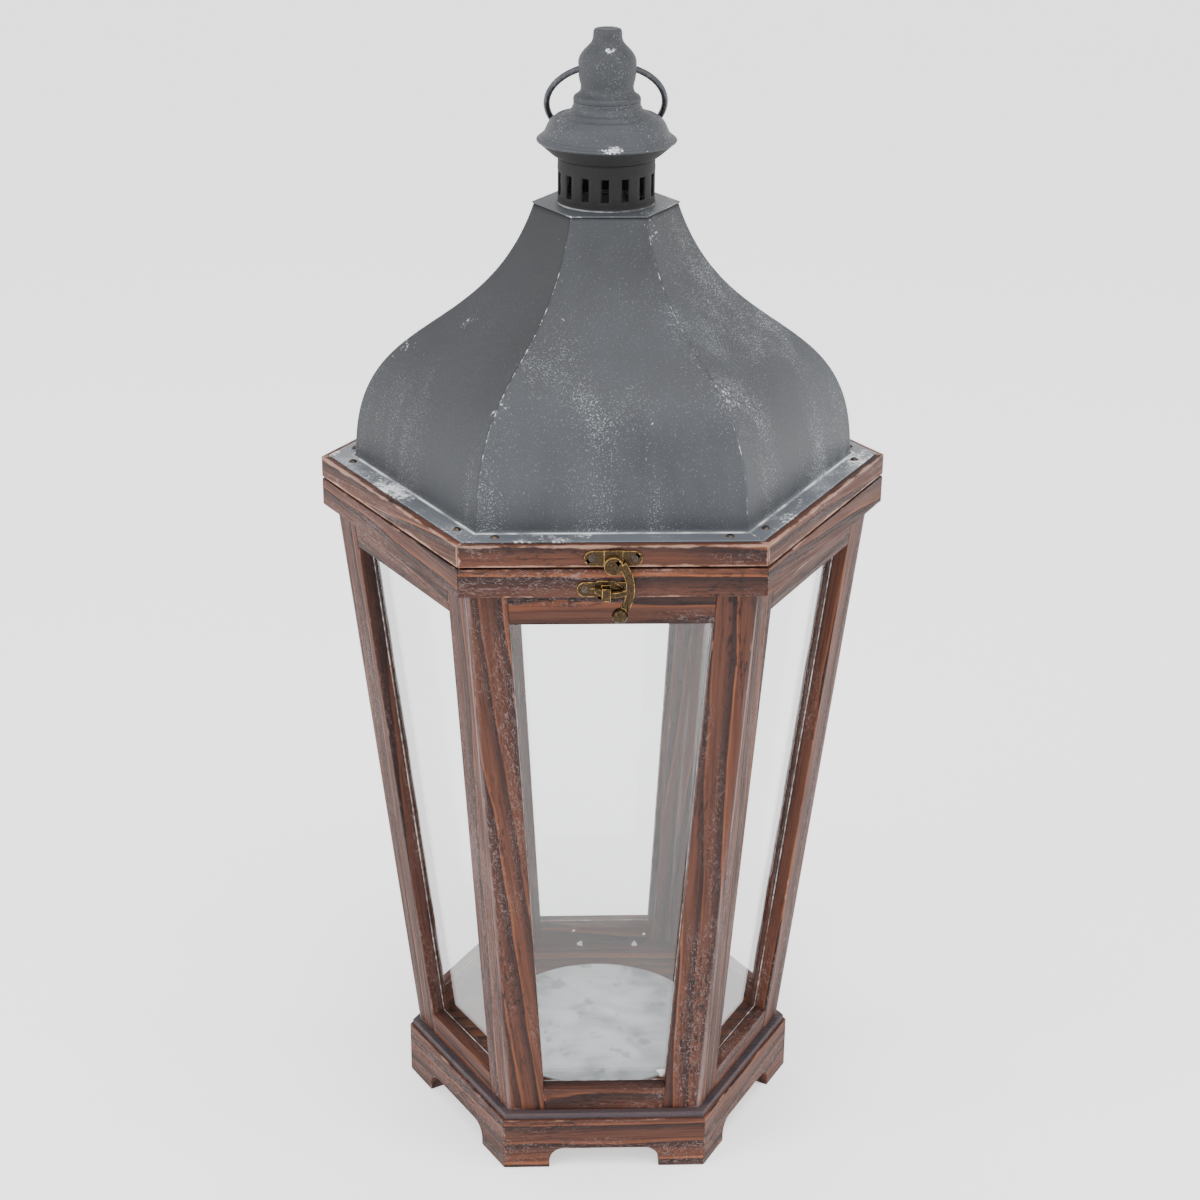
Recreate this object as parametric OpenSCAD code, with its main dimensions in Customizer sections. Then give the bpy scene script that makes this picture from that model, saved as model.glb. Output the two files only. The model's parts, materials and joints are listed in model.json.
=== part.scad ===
// Hexagonal candle lantern: six glazed wooden sides on a footed plinth, and a hinged lid that
// carries a sheet-metal ogee roof, a slotted chimney with its cap, and a knob with a ring.
// One side faces -Y. The latch is on that side and the hinges are on the opposite one.

/* [Plinth and floor] */
// Height of the footed plinth
plinth_h = 31.5; // [24:0.5:40]
// Thickness of the plinth boards
plinth_t = 12; // [8:0.5:14]
// Length left for each foot, from the corner to the cut-out
foot_len = 25.5; // [20:0.5:34]
// Height of the cut-out between the feet
foot_cut_h = 12.4; // [6:0.2:18]
// Radius of the coves at the ends of the cut-out
foot_cove_r = 8; // [3:0.5:10]
// Distance that the plinth stands out past the foot of the glazed sides
plinth_ledge = 5.3; // [3:0.1:10]
// Thickness of the floor board's lip, which lies on the plinth
floor_lip_t = 3.4; // [2:0.1:6]
// Full thickness of the floor board inside the plinth
floor_t = 9; // [7:0.5:14]
// Radius of the round candle plate
plate_r = 63; // [40:1:68]
// Height of the candle plate's turned-down rim
plate_h = 2; // [2:0.5:6]
// Distance that the candle plate lies in front of the middle
plate_forward = 6.5; // [0:0.5:8]

/* [Glazed sides] */
// Side length of the hexagon at the foot of the glazed sides
foot_side = 105.8; // [98:0.2:130]
// Height of the glazed sides, from the floor board to the neck
side_h = 326.2; // [240:1:420]
// Thickness of the stiles and rails
frame_t = 10; // [9:0.5:14]
// Face width of each stile
stile_w = 20; // [14:0.5:26]
// Face height of the bottom rails
bottom_rail_w = 14.5; // [12:0.5:30]
// Face height of the top rails
top_rail_w = 18; // [12:0.5:30]
// Thickness of the glass
glass_t = 2.4; // [2:0.2:4]
// Depth of the glass below the front face of the frames
glass_setback = 7.6; // [5:0.2:9]
// Depth of the rebate behind the window's edge that holds the glass
rebate_d = 4; // [3:0.5:6]

/* [Neck and lid] */
// Side length of the lid's wooden frame
lid_side = 150; // [140:1:180]
// Thickness of the lid's frame
lid_t = 11.1; // [10:0.1:16]
// Height of the neck frame that caps the glazed sides
neck_h = 14.6; // [14:0.1:22]
// Distance that the neck stands out past the top of the glazed sides
neck_overhang = 6.4; // [4:0.1:12]
// Width of the boards of the neck and lid frames
ring_board_w = 25; // [20:0.5:30]
// Gap between the neck and the closed lid
lid_gap = 1.2; // [0.6:0.1:2]

/* [Roof] */
// Height of the roof panels above the lid
roof_h = 136; // [100:1:180]
// Distance from the lid's edge in to the foot of the roof
roof_inset = 15.8; // [14:0.1:20]
// Width of the flange around the foot of the roof
flange_w = 12; // [10:0.1:13]
// Side length of the small hexagon at the top of the roof
roof_top_side = 37.2; // [33:0.2:44]
// Thickness of the sheet metal
sheet_t = 0.8; // [0.6:0.1:1.2]
// Share of the roof's height over which its foot rises upright
roof_swell = 0.605; // [0.4:0.005:0.75]
// Share of the roof's height over which its top sweeps up
roof_sweep = 0.59; // [0.4:0.005:0.7]
// Slope of the roof where it meets the top plate
roof_top_slope = 71; // [60:1:80]

/* [Chimney, knob and ring] */
// Radius of the slotted collar
collar_r = 25.3; // [20:0.1:28]
// Height of the collar that shows below the cap
collar_h = 23; // [18:0.5:30]
// Number of vent slots
slot_count = 15; // [8:1:17]
// Width of a vent slot
slot_w = 4; // [2.5:0.1:5]
// Height of a vent slot
slot_h = 11.6; // [6:0.2:14]
// Radius of the cap's brim
cap_r = 35.6; // [33:0.1:43]
// Height of the cap from its collar to the knob
cap_h = 28; // [24:0.5:34]
// Largest radius of the knob
knob_r = 14.6; // [13.5:0.1:15.5]
// Height of the knob
knob_h = 35.4; // [34:0.2:42]
// Thickness of the ring's wire
wire_d = 3.3; // [2.5:0.1:4]
// Radius of the ring, to the middle of the wire
ring_r = 30; // [27:0.5:36]

/* [Latch and hinges] */
// Width of the latch plates
latch_plate_w = 28; // [24:1:34]
// Height of the latch plates
latch_plate_h = 9; // [8.6:0.1:9.4]
// Thickness of the latch's swing arm
arm_t = 2.2; // [1.8:0.1:3]
// Radius of the hook, from the rivet to the middle of its tongue
hook_r = 15; // [14.6:0.1:15.4]
// Radius of the ball at the arm's end
ball_r = 3.9; // [3:0.1:5]
// Width of each hinge
hinge_w = 30; // [20:1:38]
// Distance from the middle of the lid to the middle of each hinge
hinge_x = 42; // [30:1:50]

/* [Hidden] */
$fn = 64;
SIDES = [1:6];
ENDS = [-1, 1];
glue_line = 0.1;      // joint line between the six boards of a frame
fit_clear = 0.05;     // radial clearance of pins and screw shanks
play = 0.3;           // clearance between pieces that move past each other
glass_play = 0.2;     // clearance of the glass in its rebate
spare = 1;            // how far a cut runs on past the surface it cuts

// Flat distances from the axis to the sides (apothems)
function apothem(side) = side * cos(30);
lid_a = apothem(lid_side);
foot_a = apothem(foot_side);
top_a = lid_a - neck_overhang;
plinth_a = foot_a + plinth_ledge;
lip_inset = 1.6;
lip_a = plinth_a - lip_inset;

// Levels
body_z = plinth_h + floor_lip_t;
plate_z = body_z + plate_h;
neck_z = body_z + side_h;
lid_z = neck_z + neck_h + lid_gap;
roof_z = lid_z + lid_t;
roof_top_z = roof_z + roof_h;
collar_z = roof_top_z + sheet_t;
cap_z = collar_z + collar_h;
knob_z = cap_z + cap_h;

// Glazed sides lean outwards from the foot to the neck
lean = atan((top_a - foot_a) / side_h);
side_len = side_h / cos(lean);

// Roof
roof_foot_a = lid_a - roof_inset;
flange_a = roof_foot_a + flange_w;
roof_top_a = apothem(roof_top_side);
roof_steps = 22;
plate_lap = 0.6;      // how far the top plate's corners stand out past the roof

// Screws
head_r = 2.3;
head_h = 1.2;
small_head_r = 1.8;
small_head_h = 0.7;
shank_r = 1.1;
shank_len = 8;
cross_w = 0.5;
screw_turn = 20;
corner_to_screw = 18;
flange_screw_x = lid_side / 2 - corner_to_screw;
flange_screw_a = flange_a - flange_w / 2;

// Latch, measured out from the front face of the lid
latch_t = 0.9;
arm_clear = 0.5;
arm_back = latch_t + small_head_h + arm_clear;
arm_front = arm_back + arm_t;
pivot_z = lid_z + 1.9;
latch_plate_z = lid_z + latch_plate_h / 2 + play;
rivet_r = 2.2;
rivet_tail = 2;
eye_r = 4.5;
hook_w = 2.6;
staple_x = -3.4;
staple_w = 4.2;
staple_wire = 1.1;
// Depths below the pivot of the lowest and highest points of the hook's tongue inside the staple
tongue_low = sqrt(pow(hook_r + hook_w / 2, 2) - pow(staple_x + staple_w / 2, 2));
tongue_high = sqrt(pow(hook_r - hook_w / 2, 2) - pow(staple_x - staple_w / 2, 2));
staple_gap = tongue_low - tongue_high + 2 * play;
staple_z = pivot_z - (tongue_low + tongue_high) / 2;
catch_z = neck_z + latch_plate_h / 2;
latch_lobe_r = latch_plate_h * 0.42;
latch_screw_x = latch_plate_w / 2 - latch_lobe_r;
bow_r = 21.3;
bow_w = 4;
bow_z = pivot_z - 11.9;
bow_x = -13;
bow_top = 36;         // angles on the bow at its top and at the ball, and on the hook at its root and tip
bow_foot = -40;
hook_root = 306;
hook_tip = 239;

// Hinges
leaf_t = 1;
knuckle_r = 2.3;
pin_r = 0.9;
hinge_y = lid_a + play + knuckle_r;
hinge_z = neck_z + neck_h + lid_gap / 2;
knuckle_w = hinge_w / 3;
leaf_rise = knuckle_r + play;
leaf_h = 8.6;
screw_drop = 1;
hinge_screw_x = hinge_w / 3;
hinge_screw_rise = leaf_rise + leaf_h / 2 - screw_drop;

// Knob and ring
shell_t = 1.2;
seat_w = 3;           // width of the rims that the collar stands between
hole_h = 15.5;        // height of the ring's holes in the knob
ring_axis_z = knob_z + hole_h;
ring_hole_r = wire_d / 2 + 1.15;
hole_mid_r = knob_r - 0.9;
ring_drop = sqrt(ring_r * ring_r - hole_mid_r * hole_mid_r);
brim_h = 8.6;
brim_z = cap_z + brim_h;

// Distance from the wire's middle to the cap's brim, with the ring laid back below level by an angle
function brim_gap(angle) = min([for (a = [-90:2:90])
    let (x = ring_r * sin(a), b = ring_drop + ring_r * cos(a),
         y = b * cos(angle), z = ring_axis_z - b * sin(angle))
    norm([norm([x, y]) - cap_r, z - brim_z])]);
// The ring falls back from level until its wire comes to the brim
function fall(angle) = angle > 80 || brim_gap(angle) < wire_d / 2 + 2 * play ? angle - 0.5 : fall(angle + 0.5);
ring_rest = fall(0);

function stile_names() = [for (i = SIDES, s = ["left", "right"]) str("stile_", i, "_", s)];
function six(name) = [for (i = SIDES) str(name, "_", i)];

// ---- Helpers ----

// Turns its children from the front side to side i, counted anticlockwise from above
module at_side(i) { rotate([0, 0, 60 * (i - 1)]) children(); }

// The sixth of space in front of the axis that belongs to the front side
module sector(z0, z1) {
    reach = 2 * lid_side;
    translate([0, 0, z0]) linear_extrude(z1 - z0)
        polygon([[0, 0], [-reach * tan(30), -reach], [reach * tan(30), -reach]]);
}

// A board of a hexagonal frame, cut at 60 degrees at both ends
module mitred_board(outer_a, width, height, joint = 0) {
    half = outer_a * tan(30) - joint;
    inner = (outer_a - width) * tan(30) - joint;
    linear_extrude(height)
        polygon([[-half, -outer_a], [half, -outer_a], [inner, width - outer_a], [-inner, width - outer_a]]);
}

// Places flat work on the leaning front side: x across, y up the side, z out of it
module on_lean() { translate([0, -foot_a, body_z]) rotate([90 + lean, 0, 0]) children(); }

// Half the width of the side's face, at a distance up the side
function half_side(up) = (foot_a + up * sin(lean)) * tan(30);
edge_slope = atan(sin(lean) * tan(30));
function window_half(up) = half_side(up) - stile_w / cos(edge_slope);
window_low = bottom_rail_w;
window_high = side_len - top_rail_w;

// The window's outline, grown by a margin at its foot and by another at its sides and top
function window(low, around) = [
    [-window_half(window_low - low) - around, window_low - low],
    [window_half(window_low - low) + around, window_low - low],
    [window_half(window_high + around) + around, window_high + around],
    [-window_half(window_high + around) - around, window_high + around]];

module glass_rebate() {
    translate([0, 0, -glass_setback - glass_t - glass_play]) linear_extrude(glass_t + 2 * glass_play)
        polygon(window(rebate_d, rebate_d));
}

// A length of frame wood on the front side, from its outline on the face
module frame_piece(outline) {
    intersection() {
        on_lean() difference() {
            translate([0, 0, -frame_t]) linear_extrude(frame_t) polygon(outline);
            glass_rebate();
        }
        sector(body_z, neck_z);
    }
}

// Lays a section drawn as [distance out, height] along the front side
module along_side(length, section) {
    rotate([90, 0, -90]) translate([0, 0, -length / 2]) linear_extrude(length) polygon(section);
}

// Places flat work against the front of the lid: x across, y up, z out of the face
module on_front(z) { translate([0, -lid_a, z]) rotate([90, 0, 0]) children(); }

// Screw with a domed cross head; z = 0 is the surface that it is driven into
module screw(r, h) {
    difference() {
        union() {
            intersection() {
                translate([0, 0, -r * r / (2 * h) + h / 2]) sphere(r * r / (2 * h) + h / 2);
                cylinder(r = r, h = h);
            }
            translate([0, 0, -shank_len]) cylinder(r = shank_r, h = shank_len + h / 4);
        }
        for (turn = [0, 90]) rotate([0, 0, turn + screw_turn])
            translate([-r * 0.6, -cross_w / 2, h * 0.5]) cube([r * 1.2, cross_w, h]);
    }
}

module pilot_hole() {
    translate([0, 0, -shank_len - play]) cylinder(r = shank_r + fit_clear, h = shank_len + play + head_h);
}

module rivet_hole() {
    translate([0, 0, -rivet_tail - play]) cylinder(r = shank_r + fit_clear, h = rivet_tail + play + arm_front);
}

// Places of each kind of screw, with z out of the surface
module at_flange_screws() {
    for (i = SIDES, e = ENDS)
        at_side(i) translate([e * flange_screw_x, -flange_screw_a, roof_z + sheet_t]) children();
}
module at_latch_screws() {
    for (e = ENDS) on_front(latch_plate_z) translate([e * latch_screw_x, 0, latch_t]) children();
}
module at_catch_screws() {
    for (e = ENDS) on_front(catch_z) translate([staple_x + e * latch_screw_x, 0, latch_t]) children();
}
// up is 1 for the lid's leaves and -1 for the body's
module at_hinge_screws(up) {
    for (h = ENDS, e = ENDS)
        translate([h * hinge_x + e * hinge_screw_x, lid_a + leaf_t, hinge_z + up * hinge_screw_rise])
            rotate([-90, 0, 0]) children();
}

// ---- Plinth and floor ----

module foot_cut() {
    half = plinth_a * tan(30) - foot_len;
    flat = half - foot_cove_r;
    spring_z = foot_cut_h - foot_cove_r;
    rotate([90, 0, 0]) translate([0, 0, plinth_a - plinth_t - spare]) linear_extrude(plinth_t + 2 * spare)
        polygon(concat([[-half, -spare], [half, -spare]],
            [for (a = [0:9:90]) [flat + foot_cove_r * cos(a), spring_z + foot_cove_r * sin(a)]],
            [for (a = [90:9:180]) [-flat + foot_cove_r * cos(a), spring_z + foot_cove_r * sin(a)]]));
}

module plinth_board(i) {
    color("sienna") at_side(i) difference() {
        mitred_board(plinth_a, plinth_t, plinth_h);
        foot_cut();
    }
}

module floor_board() {
    board_a = plinth_a - plinth_t - play;
    color("saddlebrown") {
        translate([0, 0, body_z - floor_t]) linear_extrude(floor_t) circle(r = board_a / cos(30), $fn = 6);
        translate([0, 0, plinth_h]) linear_extrude(floor_lip_t) circle(r = lip_a / cos(30), $fn = 6);
    }
}

module candle_plate() {
    round_r = 1.6;
    color("silver") translate([0, -plate_forward, body_z]) rotate_extrude($fn = 96) polygon(concat(
        [[plate_r - sheet_t, 0], [plate_r, 0]],
        [for (a = [0:15:90]) [plate_r - round_r * (1 - cos(a)), plate_h - round_r * (1 - sin(a))]],
        [[0, plate_h], [0, plate_h - sheet_t], [plate_r - round_r, plate_h - sheet_t],
         [plate_r - sheet_t, plate_h - round_r]]));
}

// ---- Glazed sides ----

// s is -1 for the left stile and 1 for the right
module stile(i, s) {
    low = -frame_t;
    high = side_len + frame_t;
    color("sienna") at_side(i) frame_piece([[s * window_half(low), low],
        [s * (half_side(low) + spare), low], [s * (half_side(high) + spare), high],
        [s * window_half(high), high]]);
}

module rail(i, low, high) {
    color("chocolate") at_side(i) frame_piece([[-window_half(low), low], [window_half(low), low],
        [window_half(high), high], [-window_half(high), high]]);
}

module glass_pane(i) {
    color("lightcyan", 0.4) at_side(i) on_lean()
        translate([0, 0, -glass_setback - glass_t]) linear_extrude(glass_t)
            polygon(window(rebate_d, rebate_d - 2 * glass_play));
}

module neck_frame() {
    color("sienna") difference() {
        for (i = SIDES) at_side(i) translate([0, 0, neck_z])
            mitred_board(lid_a, ring_board_w, neck_h, glue_line);
        at_catch_screws() pilot_hole();
        at_hinge_screws(-1) pilot_hole();
    }
}

// ---- Lid ----

module lid_frame() {
    color("sienna") difference() {
        for (i = SIDES) at_side(i) translate([0, 0, lid_z])
            mitred_board(lid_a, ring_board_w, lid_t, glue_line);
        at_flange_screws() pilot_hole();
        at_latch_screws() pilot_hole();
        at_hinge_screws(1) pilot_hole();
        on_front(pivot_z) rivet_hole();
    }
}

// The roof's outer line, as a cubic curve from its upright foot to its sloping top
function curve(t, p) = pow(1 - t, 3) * p[0] + 3 * t * pow(1 - t, 2) * p[1]
    + 3 * t * t * (1 - t) * p[2] + pow(t, 3) * p[3];
roof_ends = [[roof_foot_a, roof_z + sheet_t], [roof_top_a, roof_top_z]];
roof_points = [roof_ends[0], roof_ends[0] + [0, roof_swell * roof_h],
    roof_ends[1] + roof_sweep * roof_h * [cos(roof_top_slope) * cos(30), -sin(roof_top_slope)], roof_ends[1]];
roof_line = [for (i = [0:roof_steps]) curve(i / roof_steps, roof_points)];
sheet_shift = 0.75 * sheet_t;

module roof_panel(i) {
    inner_line = [for (k = [roof_steps:-1:0]) roof_line[k] - [sheet_shift, k == roof_steps ? 0 : sheet_shift]];
    section = concat([[flange_a, roof_z], [flange_a, roof_z + sheet_t]], roof_line, inner_line,
        [[roof_foot_a - sheet_shift, roof_z]]);
    color("dimgray") at_side(i) difference() {
        intersection() {
            along_side(lid_side, section);
            sector(roof_z, roof_top_z);
        }
        for (e = ENDS) translate([e * flange_screw_x, -flange_screw_a, roof_z]) pilot_hole();
    }
}

module roof_top_plate() {
    color("dimgray") translate([0, 0, roof_top_z]) difference() {
        linear_extrude(sheet_t) circle(r = roof_top_side + plate_lap, $fn = 6);
        translate([0, 0, -spare]) cylinder(r = collar_r - seat_w, h = sheet_t + 2 * spare);
    }
}

module vent_collar() {
    slot_z = 4.5;
    slot_turn = 2.5;
    color("dimgray") translate([0, 0, collar_z]) difference() {
        cylinder(r = collar_r, h = collar_h);
        translate([0, 0, -spare]) cylinder(r = collar_r - sheet_t, h = collar_h + 2 * spare);
        for (i = [1:slot_count]) rotate([0, 0, 360 * i / slot_count + slot_turn])
            translate([collar_r - seat_w, -slot_w / 2, slot_z]) cube([2 * seat_w, slot_w, slot_h]);
    }
}

// Outer line of the cap as [radius, height]: flared brim, hollow dome, rounded shoulder, sweep up to the knob
knob_foot_r = 17;
dome_r = cap_r - 1.4;
dome_z = brim_h + 1;
shoulder_r = cap_r - 7.2;
shoulder_z = 19;
shoulder_round = [2.6, 1.9];
crown_r = shoulder_r - shoulder_round[0];
crown_z = shoulder_z + shoulder_round[1];
neck_bead = 2.4;      // height of the cap's upright rim under the knob
cap_line = concat(
    [[collar_r, 0], [collar_r + 3.2, 2.6], [cap_r - 0.6, brim_h - 0.8], [cap_r, brim_h], [dome_r, dome_z]],
    [for (t = [0.25:0.25:1])
        [dome_r + (shoulder_r - dome_r) * t, dome_z + (shoulder_z - dome_z) * pow(t, 1.35)]],
    [for (a = [30:30:90]) [crown_r + shoulder_round[0] * cos(a), shoulder_z + shoulder_round[1] * sin(a)]],
    [for (t = [0.25:0.25:1])
        [crown_r + (knob_foot_r - crown_r) * t, crown_z + (cap_h - neck_bead - crown_z) * pow(t, 1.6)]],
    [[knob_foot_r, cap_h]]);

module chimney_cap() {
    wall = 1;
    last = len(cap_line) - 1;
    color("dimgray") translate([0, 0, cap_z]) rotate_extrude() polygon(concat(cap_line,
        [[0, cap_h], [0, cap_h - wall]],
        [[knob_foot_r - wall, cap_h - wall]],
        [for (k = [last - 1:-1:5]) cap_line[k] - [wall, wall]],
        [[dome_r - wall, brim_h], [collar_r + 2.6, 2.6 + wall], [collar_r, wall], [collar_r - seat_w, wall],
         [collar_r - seat_w, 0]]));
}

// Outer line of the knob as [radius, height]: bead, waist, barrel, shoulder that sweeps up, button
waist_z = 7;
belly_z = 11;
barrel_z = 19.4;
button_z = 31;
knob_line = concat(
    [[knob_foot_r, 0], [knob_foot_r, 1.4], [knob_foot_r - 0.7, 2.6], [knob_foot_r - 2, 3.4]],
    [[knob_r - 1.3, waist_z], [knob_r - 1.1, waist_z + 1.2], [knob_r - 0.5, belly_z]],
    [[knob_r - 0.1, hole_h - 1], [knob_r, barrel_z]],
    [for (a = [30:30:180])
        [knob_r * (3 + cos(a)) / 4, barrel_z + (button_z - barrel_z) * a / 180]],
    [[knob_r * 0.49, knob_h - 1.2], [knob_r * 0.46, knob_h - 0.3], [knob_r * 0.42, knob_h]]);

module finial_knob() {
    color("dimgray") translate([0, 0, knob_z]) difference() {
        rotate_extrude() polygon(concat(knob_line, [[0, knob_h], [0, 0]]));
        translate([0, 0, waist_z]) cylinder(r = knob_r - 1.5 - shell_t, h = belly_z - waist_z + spare);
        translate([0, 0, belly_z]) cylinder(r = knob_r - 0.6 - shell_t, h = barrel_z - belly_z + 2 * spare);
        translate([0, 0, hole_h]) rotate([0, 90, 0])
            cylinder(r = ring_hole_r, h = 3 * knob_r, center = true);
    }
}

// A round wire ring through the knob's side holes, lying back against the cap
module carry_ring() {
    color("gray") translate([0, 0, ring_axis_z]) rotate([-ring_rest, 0, 0])
        translate([0, ring_drop, 0]) rotate_extrude($fn = 96) translate([ring_r, 0]) circle(wire_d / 2);
}

// ---- Latch ----

module latch_backplate() {
    difference() {
        union() {
            for (e = ENDS) translate([e * latch_screw_x, 0, 0]) cylinder(r = latch_lobe_r, h = latch_t);
            translate([-latch_screw_x, -latch_lobe_r, 0])
                cube([2 * latch_screw_x, 2 * latch_lobe_r, latch_t]);
            translate([-eye_r, -latch_plate_h / 2, 0]) cube([2 * eye_r, latch_plate_h, latch_t]);
        }
        for (e = ENDS) translate([e * latch_screw_x, 0, 0]) pilot_hole();
    }
}

module latch_plate() {
    color("darkgoldenrod") on_front(latch_plate_z) difference() {
        union() {
            latch_backplate();
            translate([-eye_r, -latch_plate_h / 2, 0]) cube([2 * eye_r, latch_plate_h, arm_back - play / 3]);
        }
        translate([0, pivot_z - latch_plate_z, 0]) rivet_hole();
    }
}

// Flat arm: eye, bow and hook, with a ball at its end
module latch_arm() {
    far = 60;
    color("goldenrod") on_front(pivot_z) difference() {
        union() {
            translate([0, 0, arm_back]) linear_extrude(arm_t) {
                circle(r = eye_r);
                translate([bow_x, bow_z - pivot_z]) intersection() {
                    difference() {
                        circle(r = bow_r + bow_w / 2, $fn = 96);
                        circle(r = bow_r - bow_w / 2, $fn = 96);
                    }
                    polygon([[0, 0], far * [cos(bow_foot), sin(bow_foot)], [far, 0],
                        far * [cos(bow_top), sin(bow_top)]]);
                }
                intersection() {
                    difference() {
                        circle(r = hook_r + hook_w / 2, $fn = 96);
                        circle(r = hook_r - hook_w / 2, $fn = 96);
                    }
                    polygon([[0, 0], far * [cos(hook_tip), sin(hook_tip)], [0, -far],
                        far * [cos(hook_root), sin(hook_root)]]);
                }
                translate(hook_r * [cos(hook_tip), sin(hook_tip)]) circle(r = hook_w / 2, $fn = 32);
            }
            translate([bow_x + bow_r * cos(bow_foot), bow_z - pivot_z + bow_r * sin(bow_foot), play + ball_r])
                sphere(ball_r, $fn = 48);
        }
        cylinder(r = shank_r + fit_clear, h = arm_front + spare);
    }
}

module latch_rivet() {
    dome_h = 1.3;
    color("goldenrod") on_front(pivot_z) {
        translate([0, 0, -rivet_tail]) cylinder(r = shank_r, h = rivet_tail + arm_front + play);
        translate([0, 0, arm_front + play / 3]) intersection() {
            cylinder(r = rivet_r, h = dome_h);
            translate([0, 0, dome_h / 2 - rivet_r * rivet_r / (2 * dome_h)])
                sphere(rivet_r * rivet_r / (2 * dome_h) + dome_h / 2);
        }
    }
}

// Plate with a bridge that the hook's tongue slides under
module catch_plate() {
    rise = staple_z - catch_z;
    leg = staple_gap / 2;
    reach = arm_front + play;
    color("darkgoldenrod") on_front(catch_z) {
        translate([staple_x, 0, 0]) latch_backplate();
        translate([staple_x - staple_w / 2, rise, 0]) {
            for (e = ENDS) translate([0, e > 0 ? leg : -leg - staple_wire, latch_t / 2])
                cube([staple_w, staple_wire, reach - latch_t / 2]);
            translate([0, -leg - staple_wire, reach])
                cube([staple_w, staple_gap + 2 * staple_wire, staple_wire]);
        }
    }
}

// ---- Hinges and screws ----

// up is 1 for the lid's leaves and -1 for the body's; the body's leaves hold the outer knuckles
module hinge_leaves(up) {
    own = up > 0 ? [0] : [-1, 1];
    color("darkgoldenrod") difference() {
        for (h = ENDS) translate([h * hinge_x, 0, hinge_z]) {
            translate([-hinge_w / 2, lid_a, up > 0 ? leaf_rise : -leaf_rise - leaf_h])
                cube([hinge_w, leaf_t, leaf_h]);
            for (k = own) translate([k * knuckle_w, 0, 0]) {
                long = knuckle_w - (k == 0 ? 2 : 1) * play / 2;
                shift = -k * play / 4;
                translate([shift - long / 2, hinge_y, 0]) rotate([0, 90, 0]) cylinder(r = knuckle_r, h = long);
                translate([shift - long / 2, hinge_y - knuckle_r, up > 0 ? 0 : -leaf_rise - spare])
                    cube([long, leaf_t - play, leaf_rise + spare]);
            }
        }
        for (h = ENDS) translate([h * hinge_x - hinge_w, hinge_y, hinge_z]) rotate([0, 90, 0])
            cylinder(r = pin_r + fit_clear, h = 2 * hinge_w);
        at_hinge_screws(up) pilot_hole();
    }
}

module hinge_lid_leaves() { hinge_leaves(1); }
module hinge_body_leaves() { hinge_leaves(-1); }

module hinge_pins() {
    color("goldenrod") for (h = ENDS) translate([h * hinge_x - hinge_w / 2 - play, hinge_y, hinge_z])
        rotate([0, 90, 0]) cylinder(r = pin_r, h = hinge_w + 2 * play);
}

module lid_screws() {
    color("saddlebrown") {
        at_flange_screws() screw(head_r, head_h);
        at_latch_screws() screw(small_head_r, small_head_h);
        at_hinge_screws(1) screw(small_head_r, small_head_h);
    }
}

module body_screws() {
    color("saddlebrown") {
        at_catch_screws() screw(small_head_r, small_head_h);
        at_hinge_screws(-1) screw(small_head_r, small_head_h);
    }
}

// ---- Assembly ----

for (i = SIDES) {
    plinth_board(i);
    stile(i, -1);
    stile(i, 1);
    rail(i, -frame_t, window_low);
    rail(i, window_high, side_len + frame_t);
    glass_pane(i);
    roof_panel(i);
}
floor_board();
candle_plate();
neck_frame();
lid_frame();
roof_top_plate();
vent_collar();
chimney_cap();
finial_knob();
carry_ring();
latch_plate();
latch_arm();
latch_rivet();
catch_plate();
hinge_lid_leaves();
hinge_body_leaves();
hinge_pins();
lid_screws();
body_screws();
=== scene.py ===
"""Looks of the hexagonal candle lantern: stained boards, charcoal roof, brass latch, glass.

Every length is in metres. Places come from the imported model's own boxes, and details are measured
from them.
"""

import json
import math

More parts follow.
